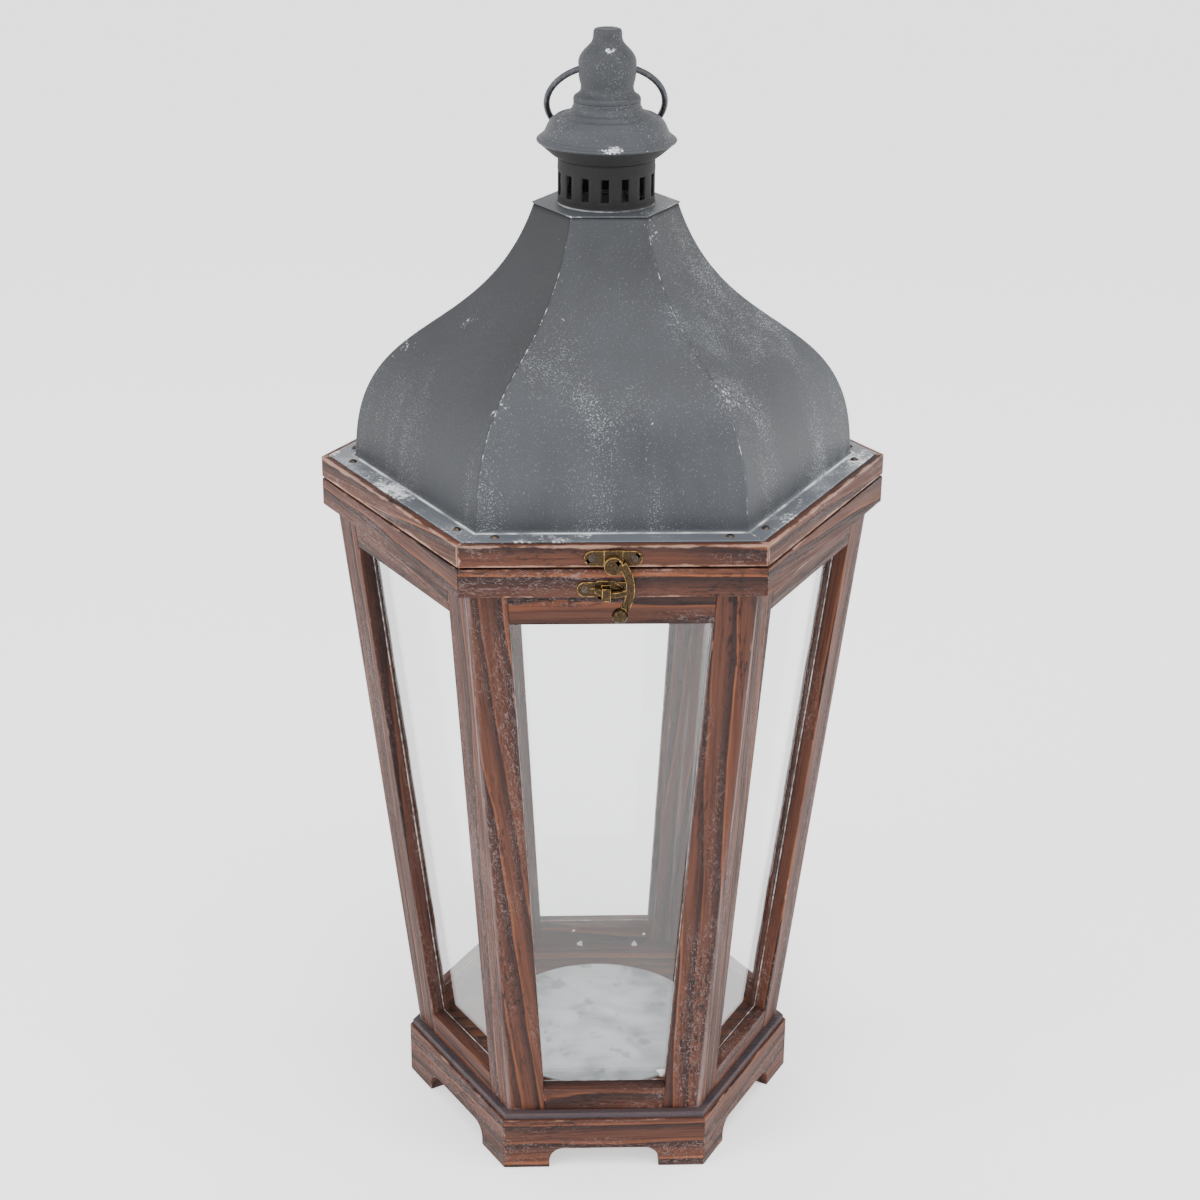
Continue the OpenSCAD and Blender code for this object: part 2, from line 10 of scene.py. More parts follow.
import bmesh
import bpy
import numpy as np
from mathutils import Matrix, Vector
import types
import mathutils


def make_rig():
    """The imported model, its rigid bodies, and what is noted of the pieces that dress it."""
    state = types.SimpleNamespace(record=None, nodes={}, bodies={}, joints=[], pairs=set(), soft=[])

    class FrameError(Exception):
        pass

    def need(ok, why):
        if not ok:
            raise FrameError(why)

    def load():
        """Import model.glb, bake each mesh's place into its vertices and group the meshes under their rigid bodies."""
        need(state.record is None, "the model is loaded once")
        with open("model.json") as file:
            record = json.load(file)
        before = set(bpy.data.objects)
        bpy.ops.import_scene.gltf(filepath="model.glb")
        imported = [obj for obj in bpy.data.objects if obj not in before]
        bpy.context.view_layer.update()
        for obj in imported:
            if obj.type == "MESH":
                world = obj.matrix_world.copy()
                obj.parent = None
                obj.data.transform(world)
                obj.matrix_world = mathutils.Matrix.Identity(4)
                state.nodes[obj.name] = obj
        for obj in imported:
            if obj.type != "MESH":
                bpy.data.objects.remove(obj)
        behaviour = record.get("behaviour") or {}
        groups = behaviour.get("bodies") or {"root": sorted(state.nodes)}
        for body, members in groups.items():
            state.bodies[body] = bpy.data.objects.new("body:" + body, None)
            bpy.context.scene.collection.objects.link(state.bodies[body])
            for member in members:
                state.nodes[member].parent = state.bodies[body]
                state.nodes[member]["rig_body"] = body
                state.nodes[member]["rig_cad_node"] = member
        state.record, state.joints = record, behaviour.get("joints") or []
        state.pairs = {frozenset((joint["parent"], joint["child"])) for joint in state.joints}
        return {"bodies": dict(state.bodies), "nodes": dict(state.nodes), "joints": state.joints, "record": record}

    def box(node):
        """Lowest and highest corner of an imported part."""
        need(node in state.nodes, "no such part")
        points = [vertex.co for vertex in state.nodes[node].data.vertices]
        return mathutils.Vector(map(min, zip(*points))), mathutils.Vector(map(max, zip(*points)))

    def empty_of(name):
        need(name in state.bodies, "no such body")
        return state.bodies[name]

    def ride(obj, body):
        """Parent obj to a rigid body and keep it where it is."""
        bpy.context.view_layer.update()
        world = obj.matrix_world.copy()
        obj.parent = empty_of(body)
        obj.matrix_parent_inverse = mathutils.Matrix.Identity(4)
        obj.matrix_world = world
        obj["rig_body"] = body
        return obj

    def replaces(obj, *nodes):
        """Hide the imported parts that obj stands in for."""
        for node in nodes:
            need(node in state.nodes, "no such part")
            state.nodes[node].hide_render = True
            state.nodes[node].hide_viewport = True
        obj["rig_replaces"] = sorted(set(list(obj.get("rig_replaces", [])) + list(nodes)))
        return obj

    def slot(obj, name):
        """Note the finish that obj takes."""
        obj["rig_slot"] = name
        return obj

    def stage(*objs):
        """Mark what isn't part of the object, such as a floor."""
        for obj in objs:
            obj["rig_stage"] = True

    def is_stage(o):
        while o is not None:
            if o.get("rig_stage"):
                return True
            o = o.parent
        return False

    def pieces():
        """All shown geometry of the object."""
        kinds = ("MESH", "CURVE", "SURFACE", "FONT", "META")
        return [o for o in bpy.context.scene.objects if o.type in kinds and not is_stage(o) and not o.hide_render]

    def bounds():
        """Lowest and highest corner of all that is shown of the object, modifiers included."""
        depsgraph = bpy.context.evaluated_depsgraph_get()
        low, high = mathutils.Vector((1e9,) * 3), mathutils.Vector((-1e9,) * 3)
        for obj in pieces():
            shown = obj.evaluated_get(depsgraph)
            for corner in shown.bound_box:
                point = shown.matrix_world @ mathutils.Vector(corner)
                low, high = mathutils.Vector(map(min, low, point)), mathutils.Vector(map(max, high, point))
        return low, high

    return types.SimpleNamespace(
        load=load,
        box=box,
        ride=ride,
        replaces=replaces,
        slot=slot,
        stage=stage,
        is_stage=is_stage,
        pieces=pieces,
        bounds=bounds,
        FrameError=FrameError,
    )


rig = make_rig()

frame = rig.load()
CAD_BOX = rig.bounds()

bl_info = {
    "name": "Candle lantern",
    "version": (1, 0, 0),
    "blender": (4, 5, 0),
    "location": "3D View > Sidebar > Lantern",
    "description": "Builds the boards, roof, chimney, latch and glass of a candle lantern",
    "category": "Object",
}

MM = 0.001
# side 1 is the front, and each next side is a sixth of a turn anticlockwise, seen from above
SIDES = range(1, 7)
TURN = math.pi / 3
# a hexagon's side reaches TAN30 times its distance from the axis to each hand
TAN30, COS30 = math.tan(math.pi / 6), math.cos(math.pi / 6)
# how far the glazed sides lean out from upright
LEAN = math.radians(5.58158)


def srgb(red, green, blue, alpha=1.0):
    """A colour given in steps of 0 to 255, as the linear values that shaders use."""
    steps = np.array([red, green, blue]) / 255
    linear = np.where(steps <= 0.04045, steps / 12.92, ((steps + 0.055) / 1.055) ** 2.4)
    return (*[float(c) for c in linear], alpha)


def side_axes(side):
    """Unit vectors of a side: along it, outwards from it, and straight up."""
    turn = TURN * (side - 1)
    along = np.array([math.cos(turn), math.sin(turn), 0.0])
    out = np.array([math.sin(turn), -math.cos(turn), 0.0])
    return along, out, np.array([0.0, 0.0, 1.0])


# ---- Sizes and colours that can be changed ----

def colour(name, description, value):
    return bpy.props.FloatVectorProperty(name=name, description=description, default=value,
                                         subtype="COLOR", size=4, min=0, max=1)


def length(name, description, value):
    return bpy.props.FloatProperty(name=name, description=description, default=value,
                                   subtype="DISTANCE", unit="LENGTH", precision=5)


def amount(name, description, value, top=1.0):
    return bpy.props.FloatProperty(name=name, description=description, default=value,
                                   min=0, max=top)


class LanternWood(bpy.types.PropertyGroup):
    mid: colour("Stain", "Middle tone of the stained boards", srgb(84, 47, 31))
    dull: colour("Dull ring", "Tone of the dullest growth rings", srgb(66, 38, 30))
    warm: colour("Warm ring", "Tone of the warmest growth rings", srgb(126, 72, 44))
    dark: colour("Late wood", "Dark side of each growth ring", srgb(29, 17, 17))
    light: colour("Ring line", "Light line between growth rings", srgb(150, 86, 50))
    pore: colour("Pores", "Dirt in the open pores", srgb(22, 14, 17))
    # grey tone of the floor board's lip and the outer strip of its top
    tint: colour("Lip tint", "Grey grime on the lip of the floor board", srgb(60, 55, 60))
    wash: colour("Whitewash", "Grey-lilac wash left in the grain", srgb(119, 101, 99))
    worn: colour("Worn edge", "Bare wood along worn edges", srgb(166, 130, 112))
    ring: length("Ring spacing", "Distance between growth rings", 9 * MM)
    bevel: length("Edge rounding", "Width of the rounded edges of the boards", 0.45 * MM)
    fade: length("Edge wear reach", "How far wear reaches in from a board's edge", 3.2 * MM)


class LanternMetal(bpy.types.PropertyGroup):
    charcoal: colour("Charcoal", "Paint of the roof, chimney and knob", srgb(58, 61, 66))
    shadow: colour("Dark charcoal", "Dark clouds in the paint", srgb(38, 40, 45))
    # paler charcoal painted onto the upward-facing flanges, as painted light
    flange_light: colour("Lit charcoal", "Pale paint of the flanges", srgb(112, 117, 124))
    # near-black for painted shade under the chimney's brim and on the roof's less lit sides, and for a darker tone on
    # the cap, knob and roof top
    dark_tone_and_shade: colour("Shade and dark tone", "Soot about the vent", srgb(12, 12, 14))
    rub: colour("Rub-through", "Pale specks where the paint is rubbed", srgb(168, 172, 176))
    # white of the worn lines and patches, and of the painted highlights on the cap's brim and the knob
    chalk_and_highlight: colour("Chalk and highlight", "White worn lines and patches", srgb(225, 228, 230))
    zinc: colour("Zinc", "Galvanised candle plate", srgb(196, 202, 205))
    zinc_shade: colour("Zinc shade", "Dull clouds on the candle plate", srgb(150, 157, 162))
    zinc_shine: colour("Zinc shine", "Bright spangles on the candle plate", srgb(226, 230, 232))
    zinc_spot: colour("Zinc spots", "Grey spots on the candle plate", srgb(112, 120, 126))
    brass: colour("Brass", "Bright edges of the latch", srgb(176, 142, 84))
    patina: colour("Patina", "Dark brown patina of the latch", srgb(46, 36, 26))
    screw: colour("Screws", "Bronzed screw heads", srgb(58, 50, 46))
    screw_rub: colour("Rubbed screws", "Rubbed spots of the screw heads", srgb(120, 100, 80))
    wire: colour("Wire", "Dark ring wire", srgb(52, 54, 58))
    wire_rub: colour("Rubbed wire", "Rubbed spots of the ring wire", srgb(96, 98, 102))
    sheet: length("Sheet thickness", "Thickness of the roof's sheet metal", 0.8 * MM)
    fillet: length("Fold radius", "Radius of the fold at the foot of the roof", 1.5 * MM)
    swell: amount("Swell", "Share of the roof's height over which its foot rises upright", 0.605)
    sweep: amount("Sweep", "Share of the roof's height over which its top sweeps up", 0.59)
    top_slope: bpy.props.FloatProperty(name="Top slope", subtype="ANGLE", default=math.radians(71),
                                       description="Slope of the roof at its top plate")


class LanternStage(bpy.types.PropertyGroup):
    floor: colour("Floor", "Plain pale floor", (0.9, 0.9, 0.9, 1))
    sky: amount("Sky light", "Strength of the even white light", 1.35, 10)
    key: amount("Key light", "Power of the key light, in watts", 22, 1000)
    focal: amount("Focal length", "Camera lens, in millimetres", 67.5, 500)


# ---- Mesh helpers ----

def quads(rows, columns, close_rows=False, close_columns=False, keep=None):
    """Quads of a grid whose vertices run row by row; keep is a mask of the cells to make."""
    last_row = rows if close_rows else rows - 1
    last_column = columns if close_columns else columns - 1
    r, c = np.meshgrid(np.arange(last_row), np.arange(last_column), indexing="ij")
    if keep is not None:
        r, c = r[keep], c[keep]
    r, c = r.ravel(), c.ravel()
    r2, c2 = (r + 1) % rows, (c + 1) % columns
    row, row2 = r * columns, r2 * columns
    return np.stack([row + c, row + c2, row2 + c2, row2 + c], axis=1)


def make_mesh(name, points, faces, attributes=None, smooth=True, turn_out=True):
    """A mesh from arrays; doubled points are merged and its faces turned outwards."""
    mesh = bpy.data.meshes.new(name)
    mesh.from_pydata(np.asarray(points).reshape(-1, 3).tolist(), [], np.asarray(faces).tolist())
    for key, values in (attributes or {}).items():
        point_layer(mesh, key, values)
    work = bmesh.new()
    work.from_mesh(mesh)
    bmesh.ops.remove_doubles(work, verts=work.verts, dist=1e-6)
    bmesh.ops.dissolve_degenerate(work, dist=1e-7, edges=work.edges)
    if turn_out:
        bmesh.ops.recalc_face_normals(work, faces=work.faces)
    for face in work.faces:
        face.smooth = smooth
    work.to_mesh(mesh)
    work.free()
    mesh.update()
    return mesh


def place(name, mesh, material, body, slot, nodes):
    """Puts a mesh into the scene as a piece that rides on a body and stands for CAD nodes."""
    piece = bpy.data.objects.new(name, mesh)
    bpy.context.scene.collection.objects.link(piece)
    mesh.materials.clear()
    mesh.materials.append(material)
    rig.ride(piece, body)
    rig.slot(piece, slot)
    if nodes:
        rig.replaces(piece, *nodes)
    return piece


def place_sheet(name, mesh, node, thickness):
    """Places an open sheet of the lid's charcoal metal, with its wall inside its outer face."""
    piece = place(name, mesh, MATERIALS["charcoal"], "lid", "charcoal_metal", [node])
    normals = np.empty(len(mesh.polygons) * 3, np.float32)
    centres = np.empty(len(mesh.polygons) * 3, np.float32)
    mesh.polygons.foreach_get("normal", normals)
    mesh.polygons.foreach_get("center", centres)
    # a sheet is turned over if most of its faces look towards the lantern's axis
    if (normals.reshape(-1, 3) * centres.reshape(-1, 3) * [1, 1, 0]).sum() < 0:
        mesh.flip_normals()
    wall = piece.modifiers.new("Sheet", "SOLIDIFY")
    wall.thickness = thickness
    wall.offset = -1


def copy_of(node):
    """A working copy of a CAD node's mesh with its triangles joined up and its flat faces whole."""
    work = bmesh.new()
    work.from_mesh(frame["nodes"][node].data)
    bmesh.ops.remove_doubles(work, verts=work.verts, dist=6e-6)
    bmesh.ops.dissolve_limit(work, angle_limit=math.radians(0.6), verts=work.verts,
                             edges=work.edges, use_dissolve_boundaries=False)
    return work


def soften(work, width, reach, name, sharp=25):
    """Rounds a working mesh's edges that are sharper than an angle in degrees; its point attribute
    "edge" falls from 1 at an edge to 0 at a distance reach inside each flat face."""
    narrowest, largest_share = 1.2 * MM, 0.35
    edges = [e for e in work.edges if len(e.link_faces) == 2
             and e.calc_face_angle(0) > math.radians(sharp)]
    rounded = set(bmesh.ops.bevel(work, geom=edges, offset=width, offset_type="OFFSET",
                                  affect="EDGES", segments=2, profile=0.5,
                                  clamp_overlap=True)["faces"])
    layer = work.verts.layers.float.new("edge")
    for vertex in work.verts:
        vertex[layer] = float(any(face in rounded for face in vertex.link_faces))
    for face in [f for f in work.faces if f not in rounded]:
        span = 2 * face.calc_area() / max(face.calc_perimeter(), 1e-9)
        if span < narrowest:
            continue
        bmesh.ops.inset_individual(work, faces=[face], thickness=min(reach, largest_share * span),
                                   use_even_offset=True)
        for vertex in face.verts:
            vertex[layer] = 0.0
    for face in work.faces:
        face.smooth = face in rounded
    mesh = bpy.data.meshes.new(name)
    work.to_mesh(mesh)
    work.free()
    return mesh


def coordinates(mesh):
    """A mesh's vertices as an array of one row each."""
    points = np.empty(len(mesh.vertices) * 3, np.float32)
    mesh.vertices.foreach_get("co", points)
    return points.reshape(-1, 3).astype(float)


def point_layer(mesh, name, values):
    """Gives a mesh a point attribute: a number or a vector for each vertex."""
    values = np.asarray(values, np.float32)
    kind = "FLOAT" if values.ndim == 1 else "FLOAT_VECTOR"
    layer = mesh.attributes.get(name) or mesh.attributes.new(name, kind, "POINT")
    layer.data.foreach_set("value" if kind == "FLOAT" else "vector", values.ravel())


def closeness(distance, reach):
    """Falls evenly from 1 at a distance of 0 to 0 at reach."""
    return np.clip(1 - distance / reach, 0, 1)


def wear_values(seam, fold, smear_and_highlight):
    """How worn each point is at its seam, at its fold and over its face, where the last also carries
    painted highlights, as one row per point.
    """
    return np.stack(np.broadcast_arrays(seam, fold, smear_and_highlight), axis=-1).reshape(-1, 3)


# ---- Shader helpers ----

class Tree:
    """Short names for adding and linking nodes in a node tree."""

    def __init__(self, tree):
        self.tree = tree

    def node(self, kind, inputs=None, **settings):
        made = self.tree.nodes.new(kind)
        for key, value in settings.items():
            setattr(made, key, value)
        for key, value in (inputs or {}).items():
            self.feed(made.inputs[key], value)
        return made

    def feed(self, socket, value):
        if isinstance(value, bpy.types.NodeSocket):
            self.tree.links.new(value, socket)
        else:
            socket.default_value = value

    def math(self, operation, a, b=0.0, clamp=False):
        made = self.node("ShaderNodeMath", {0: a, 1: b}, operation=operation, use_clamp=clamp)
        return made.outputs[0]

    def times(self, a, b, clamp=False):
        return self.math("MULTIPLY", a, b, clamp)

    def plus(self, a, b, clamp=False):
        return self.math("ADD", a, b, clamp)

    def minus(self, a, b):
        return self.math("SUBTRACT", a, b)

    def most(self, a, b):
        return self.math("MAXIMUM", a, b)

    def ramp(self, value, low, high, to_low=0.0, to_high=1.0):
        """Goes smoothly from to_low, where the value is low, to to_high, where it is high."""
        made = self.node("ShaderNodeMapRange", {"Value": value, "From Min": low, "From Max": high,
                                                "To Min": to_low, "To Max": to_high},
                         interpolation_type="SMOOTHSTEP")
        return made.outputs["Result"]

    def mix(self, factor, a, b):
        """Goes from colour a to colour b; they are the node's sockets 6 and 7, and its output 2."""
        made = self.node("ShaderNodeMix", {0: factor, 6: a, 7: b}, data_type="RGBA",
                         clamp_factor=True)
        return made.outputs[2]

    def noise(self, vector, scale, detail=2.0, roughness=0.5, distortion=0.0):
        made = self.node("ShaderNodeTexNoise", {"Vector": vector, "Scale": scale, "Detail": detail,
                                                "Roughness": roughness, "Distortion": distortion})
        return made.outputs[0]

    def stretch(self, vector, scale):
        made = self.node("ShaderNodeMapping", {"Vector": vector, "Scale": scale})
        return made.outputs[0]

    def attribute(self, name):
        """A mesh's attribute: its outputs give it as a vector and as a number, called Fac."""
        made = self.node("ShaderNodeAttribute", attribute_type="GEOMETRY", attribute_name=name)
        return made.outputs

    def parts(self, vector):
        return self.node("ShaderNodeSeparateXYZ", {"Vector": vector}).outputs

    def place(self):
        return self.node("ShaderNodeTexCoord").outputs["Object"]

    def use(self, group, inputs):
        made = self.node("ShaderNodeGroup", node_tree=group)
        for key, value in inputs.items():
            self.feed(made.inputs[key], value)
        return made.outputs


def new_group(name, inputs, outputs):
    """An empty node group with named sockets; gives the group, its Tree and its inputs."""
    group = bpy.data.node_groups.new(name, "ShaderNodeTree")
    for label, kind, value in inputs:
        socket = group.interface.new_socket(label, in_out="INPUT", socket_type=kind)
        if value is not None:
            socket.default_value = value
    for label, kind in outputs:
        group.interface.new_socket(label, in_out="OUTPUT", socket_type=kind)
    tree = Tree(group)
    return group, tree, group.nodes.new("NodeGroupInput").outputs


def close_group(tree, values):
    """Links a group's results to its output sockets."""
    end = tree.tree.nodes.new("NodeGroupOutput")
    for key, value in values.items():
        tree.feed(end.inputs[key], value)


def new_material(name):
    """A material whose Principled BSDF is ready; gives the material, its Tree and the shader."""
    material = bpy.data.materials.new(name)
    material.use_nodes = True
    return material, Tree(material.node_tree), material.node_tree.nodes["Principled BSDF"]


def finish(t, shader, body, rough, height=None, depth=0.0, strength=0.0):
    """Feeds a shader its colour and roughness, and a bump where a height is given."""
    t.feed(shader.inputs["Base Color"], body)
    t.feed(shader.inputs["Roughness"], rough)
    if height is not None:
        bump = t.node("ShaderNodeBump", {"Height": height, "Distance": depth, "Strength": strength})
        t.feed(shader.inputs["Normal"], bump.outputs[0])


FLOAT, VECTOR = "NodeSocketFloat", "NodeSocketVector"


def wood_figure_group():
    """Growth rings about a far-off axis, cut along the grain: a light line, a body and a dark late
    band, with a random tone for each ring, and fine fibres. The ring's number is the distance from
    the axis over the ring spacing, moved by noise."""
    group, t, given = new_group("Wood Figure", [("Grain", VECTOR, None), ("Ring", FLOAT, 0.0075),
                                                ("Wander", FLOAT, 1.6)],
                                [("Line", FLOAT), ("Late", FLOAT), ("Ring Tone", FLOAT),
                                 ("Fibre", FLOAT), ("Pores", FLOAT)])
    grain = given["Grain"]
    low = t.noise(t.stretch(grain, (5, 26, 26)), 1.0, 2.0)
    fine = t.noise(t.stretch(grain, (16, 120, 120)), 1.0, 2.0)
    spot = t.parts(grain)
    # the axis of the rings lies 50 mm across and 55 mm out from the middle of the board
    across, deep = t.plus(spot["Y"], 0.05), t.plus(spot["Z"], -0.055)
    radius = t.math("SQRT", t.plus(t.times(across, across), t.times(deep, deep)))
    phase = t.math("DIVIDE", radius, given["Ring"])
    phase = t.plus(phase, t.times(t.minus(low, 0.5), given["Wander"]))
    phase = t.plus(phase, t.times(t.minus(fine, 0.5), 0.35))
    within = t.math("FRACT", phase)
    number = t.math("FLOOR", phase)
    ring = t.node("ShaderNodeTexWhiteNoise", {"W": number}, noise_dimensions="1D").outputs[0]
    line = t.times(t.ramp(within, 0.0, 0.035), t.ramp(within, 0.17, 0.04))
    late = t.times(t.ramp(within, 0.4, 0.97), t.ramp(within, 1.0, 0.975))
    fibre = t.noise(t.stretch(grain, (22, 900, 900)), 1.0, 3.0, 0.6)
    pores = t.noise(t.stretch(grain, (170, 620, 620)), 1.0, 3.0, 0.65)
    close_group(t, {"Line": line, "Late": late, "Ring Tone": ring, "Fibre": fibre, "Pores": pores})
    return group


def patches_group():
    """Soft-edged patches: a coarse noise broken up by a fine one and cut at a level."""
    group, t, given = new_group("Rubbed Patches", [("Vector", VECTOR, None), ("Scale", FLOAT, 20.0),
                                                   ("Grit", FLOAT, 400.0), ("Level", FLOAT, 0.55),
                                                   ("Softness", FLOAT, 0.08)], [("Mask", FLOAT)])
    coarse = t.noise(given["Vector"], given["Scale"], 3.0, 0.55)
    grit = t.noise(given["Vector"], given["Grit"], 2.0, 0.6)
    value = t.plus(coarse, t.times(t.minus(grit, 0.5), 0.5))
    mask = t.ramp(value, given["Level"], t.plus(given["Level"], given["Softness"]))
    close_group(t, {"Mask": mask})
    return group


def speckle_group():
    """Fine specks at the peaks of a noise; Cover says where they gather."""
    group, t, given = new_group("Fine Specks", [("Vector", VECTOR, None), ("Scale", FLOAT, 900.0),
                                                ("Cover", FLOAT, 0.5)], [("Mask", FLOAT)])
    fine = t.noise(given["Vector"], given["Scale"], 3.0, 0.7)
    level = t.minus(0.74, t.times(given["Cover"], 0.26))
    close_group(t, {"Mask": t.ramp(fine, level, t.plus(level, 0.1))})
    return group


def scratches_group():
    """Thin curling lines, where a distorted noise passes through its middle value."""
    group, t, given = new_group("Curling Scratches", [("Vector", VECTOR, None),
                                                      ("Scale", FLOAT, 120.0),
                                                      ("Width", FLOAT, 0.02)], [("Mask", FLOAT)])
    field = t.noise(given["Vector"], given["Scale"], 2.0, 0.6, 1.2)
    off = t.math("ABSOLUTE", t.minus(field, 0.5))
    close_group(t, {"Mask": t.ramp(off, given["Width"], 0.0)})
    return group


def worn_edge_group():
    """Wear along edges: the closeness to an edge, broken up by noise."""
    group, t, given = new_group("Worn Edge", [("Edge", FLOAT, 0.0), ("Vector", VECTOR, None),
                                              ("Scale", FLOAT, 90.0), ("Reach", FLOAT, 0.5)],
                                [("Mask", FLOAT)])
    broken = t.noise(given["Vector"], given["Scale"], 3.0, 0.65)
    value = t.plus(given["Edge"], t.times(t.minus(broken, 0.5), 1.7))
    level = t.minus(1.25, given["Reach"])
    close_group(t, {"Mask": t.ramp(value, level, t.plus(level, 0.3))})
    return group


# ---- Materials ----

GROUPS = {}
MATERIALS = {}


def stained_wood(colours):
    """Boards: the mesh's "board" attribute gives each one's tone, whitewash with painted light, and edge wear."""
    material, t, shader = new_material("Stained Wood")
    grain = t.attribute("grain")["Vector"]
    board = t.parts(t.attribute("board")["Vector"])
    tone, wash_and_light, wear_amount = board["X"], board["Y"], board["Z"]
    edge, corner, ledge = (t.attribute(name)["Fac"] for name in ("edge", "corner", "ledge"))
    figure = t.use(GROUPS["figure"], {"Grain": grain, "Ring": colours.ring, "Wander": 1.5})
    fibre, late = figure["Fibre"], figure["Late"]

    # growth rings, late wood and fibres
    tone = t.plus(t.times(figure["Ring Tone"], 0.75), t.times(tone, 0.5))
    body = t.mix(t.ramp(tone, 0.0, 0.9), colours.dull, colours.mid)
    body = t.mix(t.times(t.ramp(tone, 0.6, 0.9), 0.5), body, colours.warm)
    body = t.mix(t.times(late, 0.85), body, colours.dark)
    line = t.times(figure["Line"], t.ramp(figure["Ring Tone"], 0.3, 0.9))
    body = t.mix(t.times(line, 0.55), body, colours.light)
    body = t.mix(t.ramp(fibre, 0.35, 0.75, 0.0, 0.5), body, colours.dark)
    blotch = t.noise(t.stretch(grain, (12, 55, 55)), 1.0, 3.0)
    coarse_zone = t.most(t.ramp(blotch, 0.46, 0.66), t.times(late, 0.6))
    pores = t.times(t.ramp(figure["Pores"], 0.5, 0.62), coarse_zone)
    body = t.mix(t.times(pores, 0.85), body, colours.pore)

    # whitewash in patches, in thin curls and in streaks beside the corners; the patches also carry painted light
    patch_level = t.minus(0.76, t.times(wash_and_light, 0.3))
    wash = t.use(GROUPS["patches"], {"Vector": t.stretch(grain, (1, 3, 3)), "Scale": 9.0,
                                     "Grit": 160.0, "Level": patch_level, "Softness": 0.25})["Mask"]
    curls = t.use(GROUPS["scratches"], {"Vector": t.stretch(grain, (0.5, 1, 1)), "Scale": 300.0,
                                        "Width": 0.028})["Mask"]
    curl_place = t.ramp(t.noise(t.stretch(grain, (9, 60, 60)), 1.0, 3.0), 0.46, 0.62)
    curls = t.times(t.times(curls, curl_place), 0.65)
    body = t.mix(t.most(t.times(wash, 0.4), curls), body, colours.wash)
    streak = t.noise(t.stretch(grain, (6, 200, 200)), 1.0, 3.0)
    pale = t.times(t.ramp(corner, 0.45, 0.95), t.ramp(streak, 0.4, 0.6, 0.1, 0.8))
    body = t.mix(pale, body, colours.wash)

    # worn edges, and a grey tone on the floor board's lip
    worn = t.use(GROUPS["edge"], {"Edge": edge, "Vector": t.stretch(grain, (0.35, 1, 1)),
                                  "Scale": 160.0, "Reach": t.times(wear_amount, 0.6)})["Mask"]
    body = t.mix(t.times(worn, 0.6), body, colours.worn)
    body = t.mix(t.times(ledge, 0.85), body, colours.tint)
    shader.inputs["Specular IOR Level"].default_value = 0.22
    height = t.plus(t.times(fibre, 0.5), t.plus(t.times(late, 0.6), t.times(pores, -0.8)))
    finish(t, shader, body, t.ramp(fibre, 0.3, 0.7, 0.5, 0.7), height, 0.6 * MM, 0.7)
    return material


def charcoal_sheet(colours):
    """Painted sheet: the mesh's "wear" attribute gives its wear at seams, at folds and in smears, the
    smears also carrying painted highlights on the cap and knob, and its attribute of painted shade and
    dark tone how dark it is: painted shade under the chimney's brim and on the roof's less lit sides,
    and a darker tone on the cap, knob and roof top; below 0 it is paler, as painted light on the flanges."""
    material, t, shader = new_material("Charcoal Sheet")
    spot = t.place()
    wear = t.parts(t.attribute("wear")["Vector"])
    dark_tone_and_shade = t.attribute("dark_tone_and_shade")["Fac"]

    # clouded paint with pale specks, which gather in runs and keep off the painted shade and darker tone
    cloud = t.noise(t.stretch(spot, (1, 1, 0.4)), 22.0, 3.0, 0.55)
    body = t.mix(t.ramp(cloud, 0.3, 0.72), colours.shadow, colours.charcoal)
    gather = t.ramp(t.noise(t.stretch(spot, (1, 1, 0.35)), 15.0, 3.0), 0.4, 0.66)
    runs = t.noise(t.stretch(spot, (1, 1, 0.1)), 70.0, 2.0)
    gather = t.times(gather, t.ramp(runs, 0.35, 0.65, 0.5, 1.0))
    gather = t.times(gather, t.minus(1.0, dark_tone_and_shade), clamp=True)
    fine = t.use(GROUPS["specks"], {"Vector": spot, "Scale": 1300.0,
                                    "Cover": t.plus(t.times(gather, 0.55), 0.5)})["Mask"]
    body = t.mix(t.times(fine, t.plus(t.times(gather, 0.55), 0.35)), body, colours.rub)
    coarse = t.use(GROUPS["specks"], {"Vector": spot, "Scale": 700.0,
                                      "Cover": t.times(gather, 0.7)})["Mask"]
    body = t.mix(t.times(coarse, 0.5), body, colours.rub)
    # painted light: below 0, on the flanges, the paint goes paler
    body = t.mix(t.ramp(dark_tone_and_shade, 0.0, -0.6, 0.0, 0.5), body, colours.flange_light)
    # near-black painted shade under the brim and on the less lit roof sides, and a darker tone on cap, knob and roof
    # top
    body = t.mix(dark_tone_and_shade, body, colours.dark_tone_and_shade)

    # white wear along seams and folds, and in smears, which also paint the highlights on the cap and knob
    seam = t.use(GROUPS["edge"], {"Edge": wear["X"], "Vector": spot, "Scale": 190.0,
                                  "Reach": 0.3})["Mask"]
    breaks = t.noise(spot, 45.0, 3.0, 0.6)
    fold = t.times(t.ramp(wear["Y"], 0.6, 0.9), t.ramp(breaks, 0.38, 0.55, 0.2, 1.0))
    smear_and_highlight_level = t.minus(0.77, t.times(wear["Z"], 0.25))
    smear_and_highlight = t.use(GROUPS["patches"], {"Vector": spot, "Scale": 32.0, "Grit": 600.0,
                                      "Level": smear_and_highlight_level, "Softness": 0.14})["Mask"]
    chalk_and_highlight = t.most(t.most(t.times(seam, 0.7), fold), t.times(smear_and_highlight, 0.85))
    body = t.mix(chalk_and_highlight, body, colours.chalk_and_highlight)
    rough = t.plus(t.ramp(cloud, 0.3, 0.7, 0.44, 0.56), t.times(fine, 0.2))
    rough = t.plus(rough, t.times(dark_tone_and_shade, 0.3), clamp=True)
    shader.inputs["Specular IOR Level"].default_value = 0.45
    grit, dents = t.noise(spot, 900.0, 3.0, 0.65), t.noise(spot, 30.0, 2.0)
    finish(t, shader, body, rough, t.plus(t.times(grit, 0.25), t.times(dents, 2.0)), 0.4 * MM, 0.5)
    return material


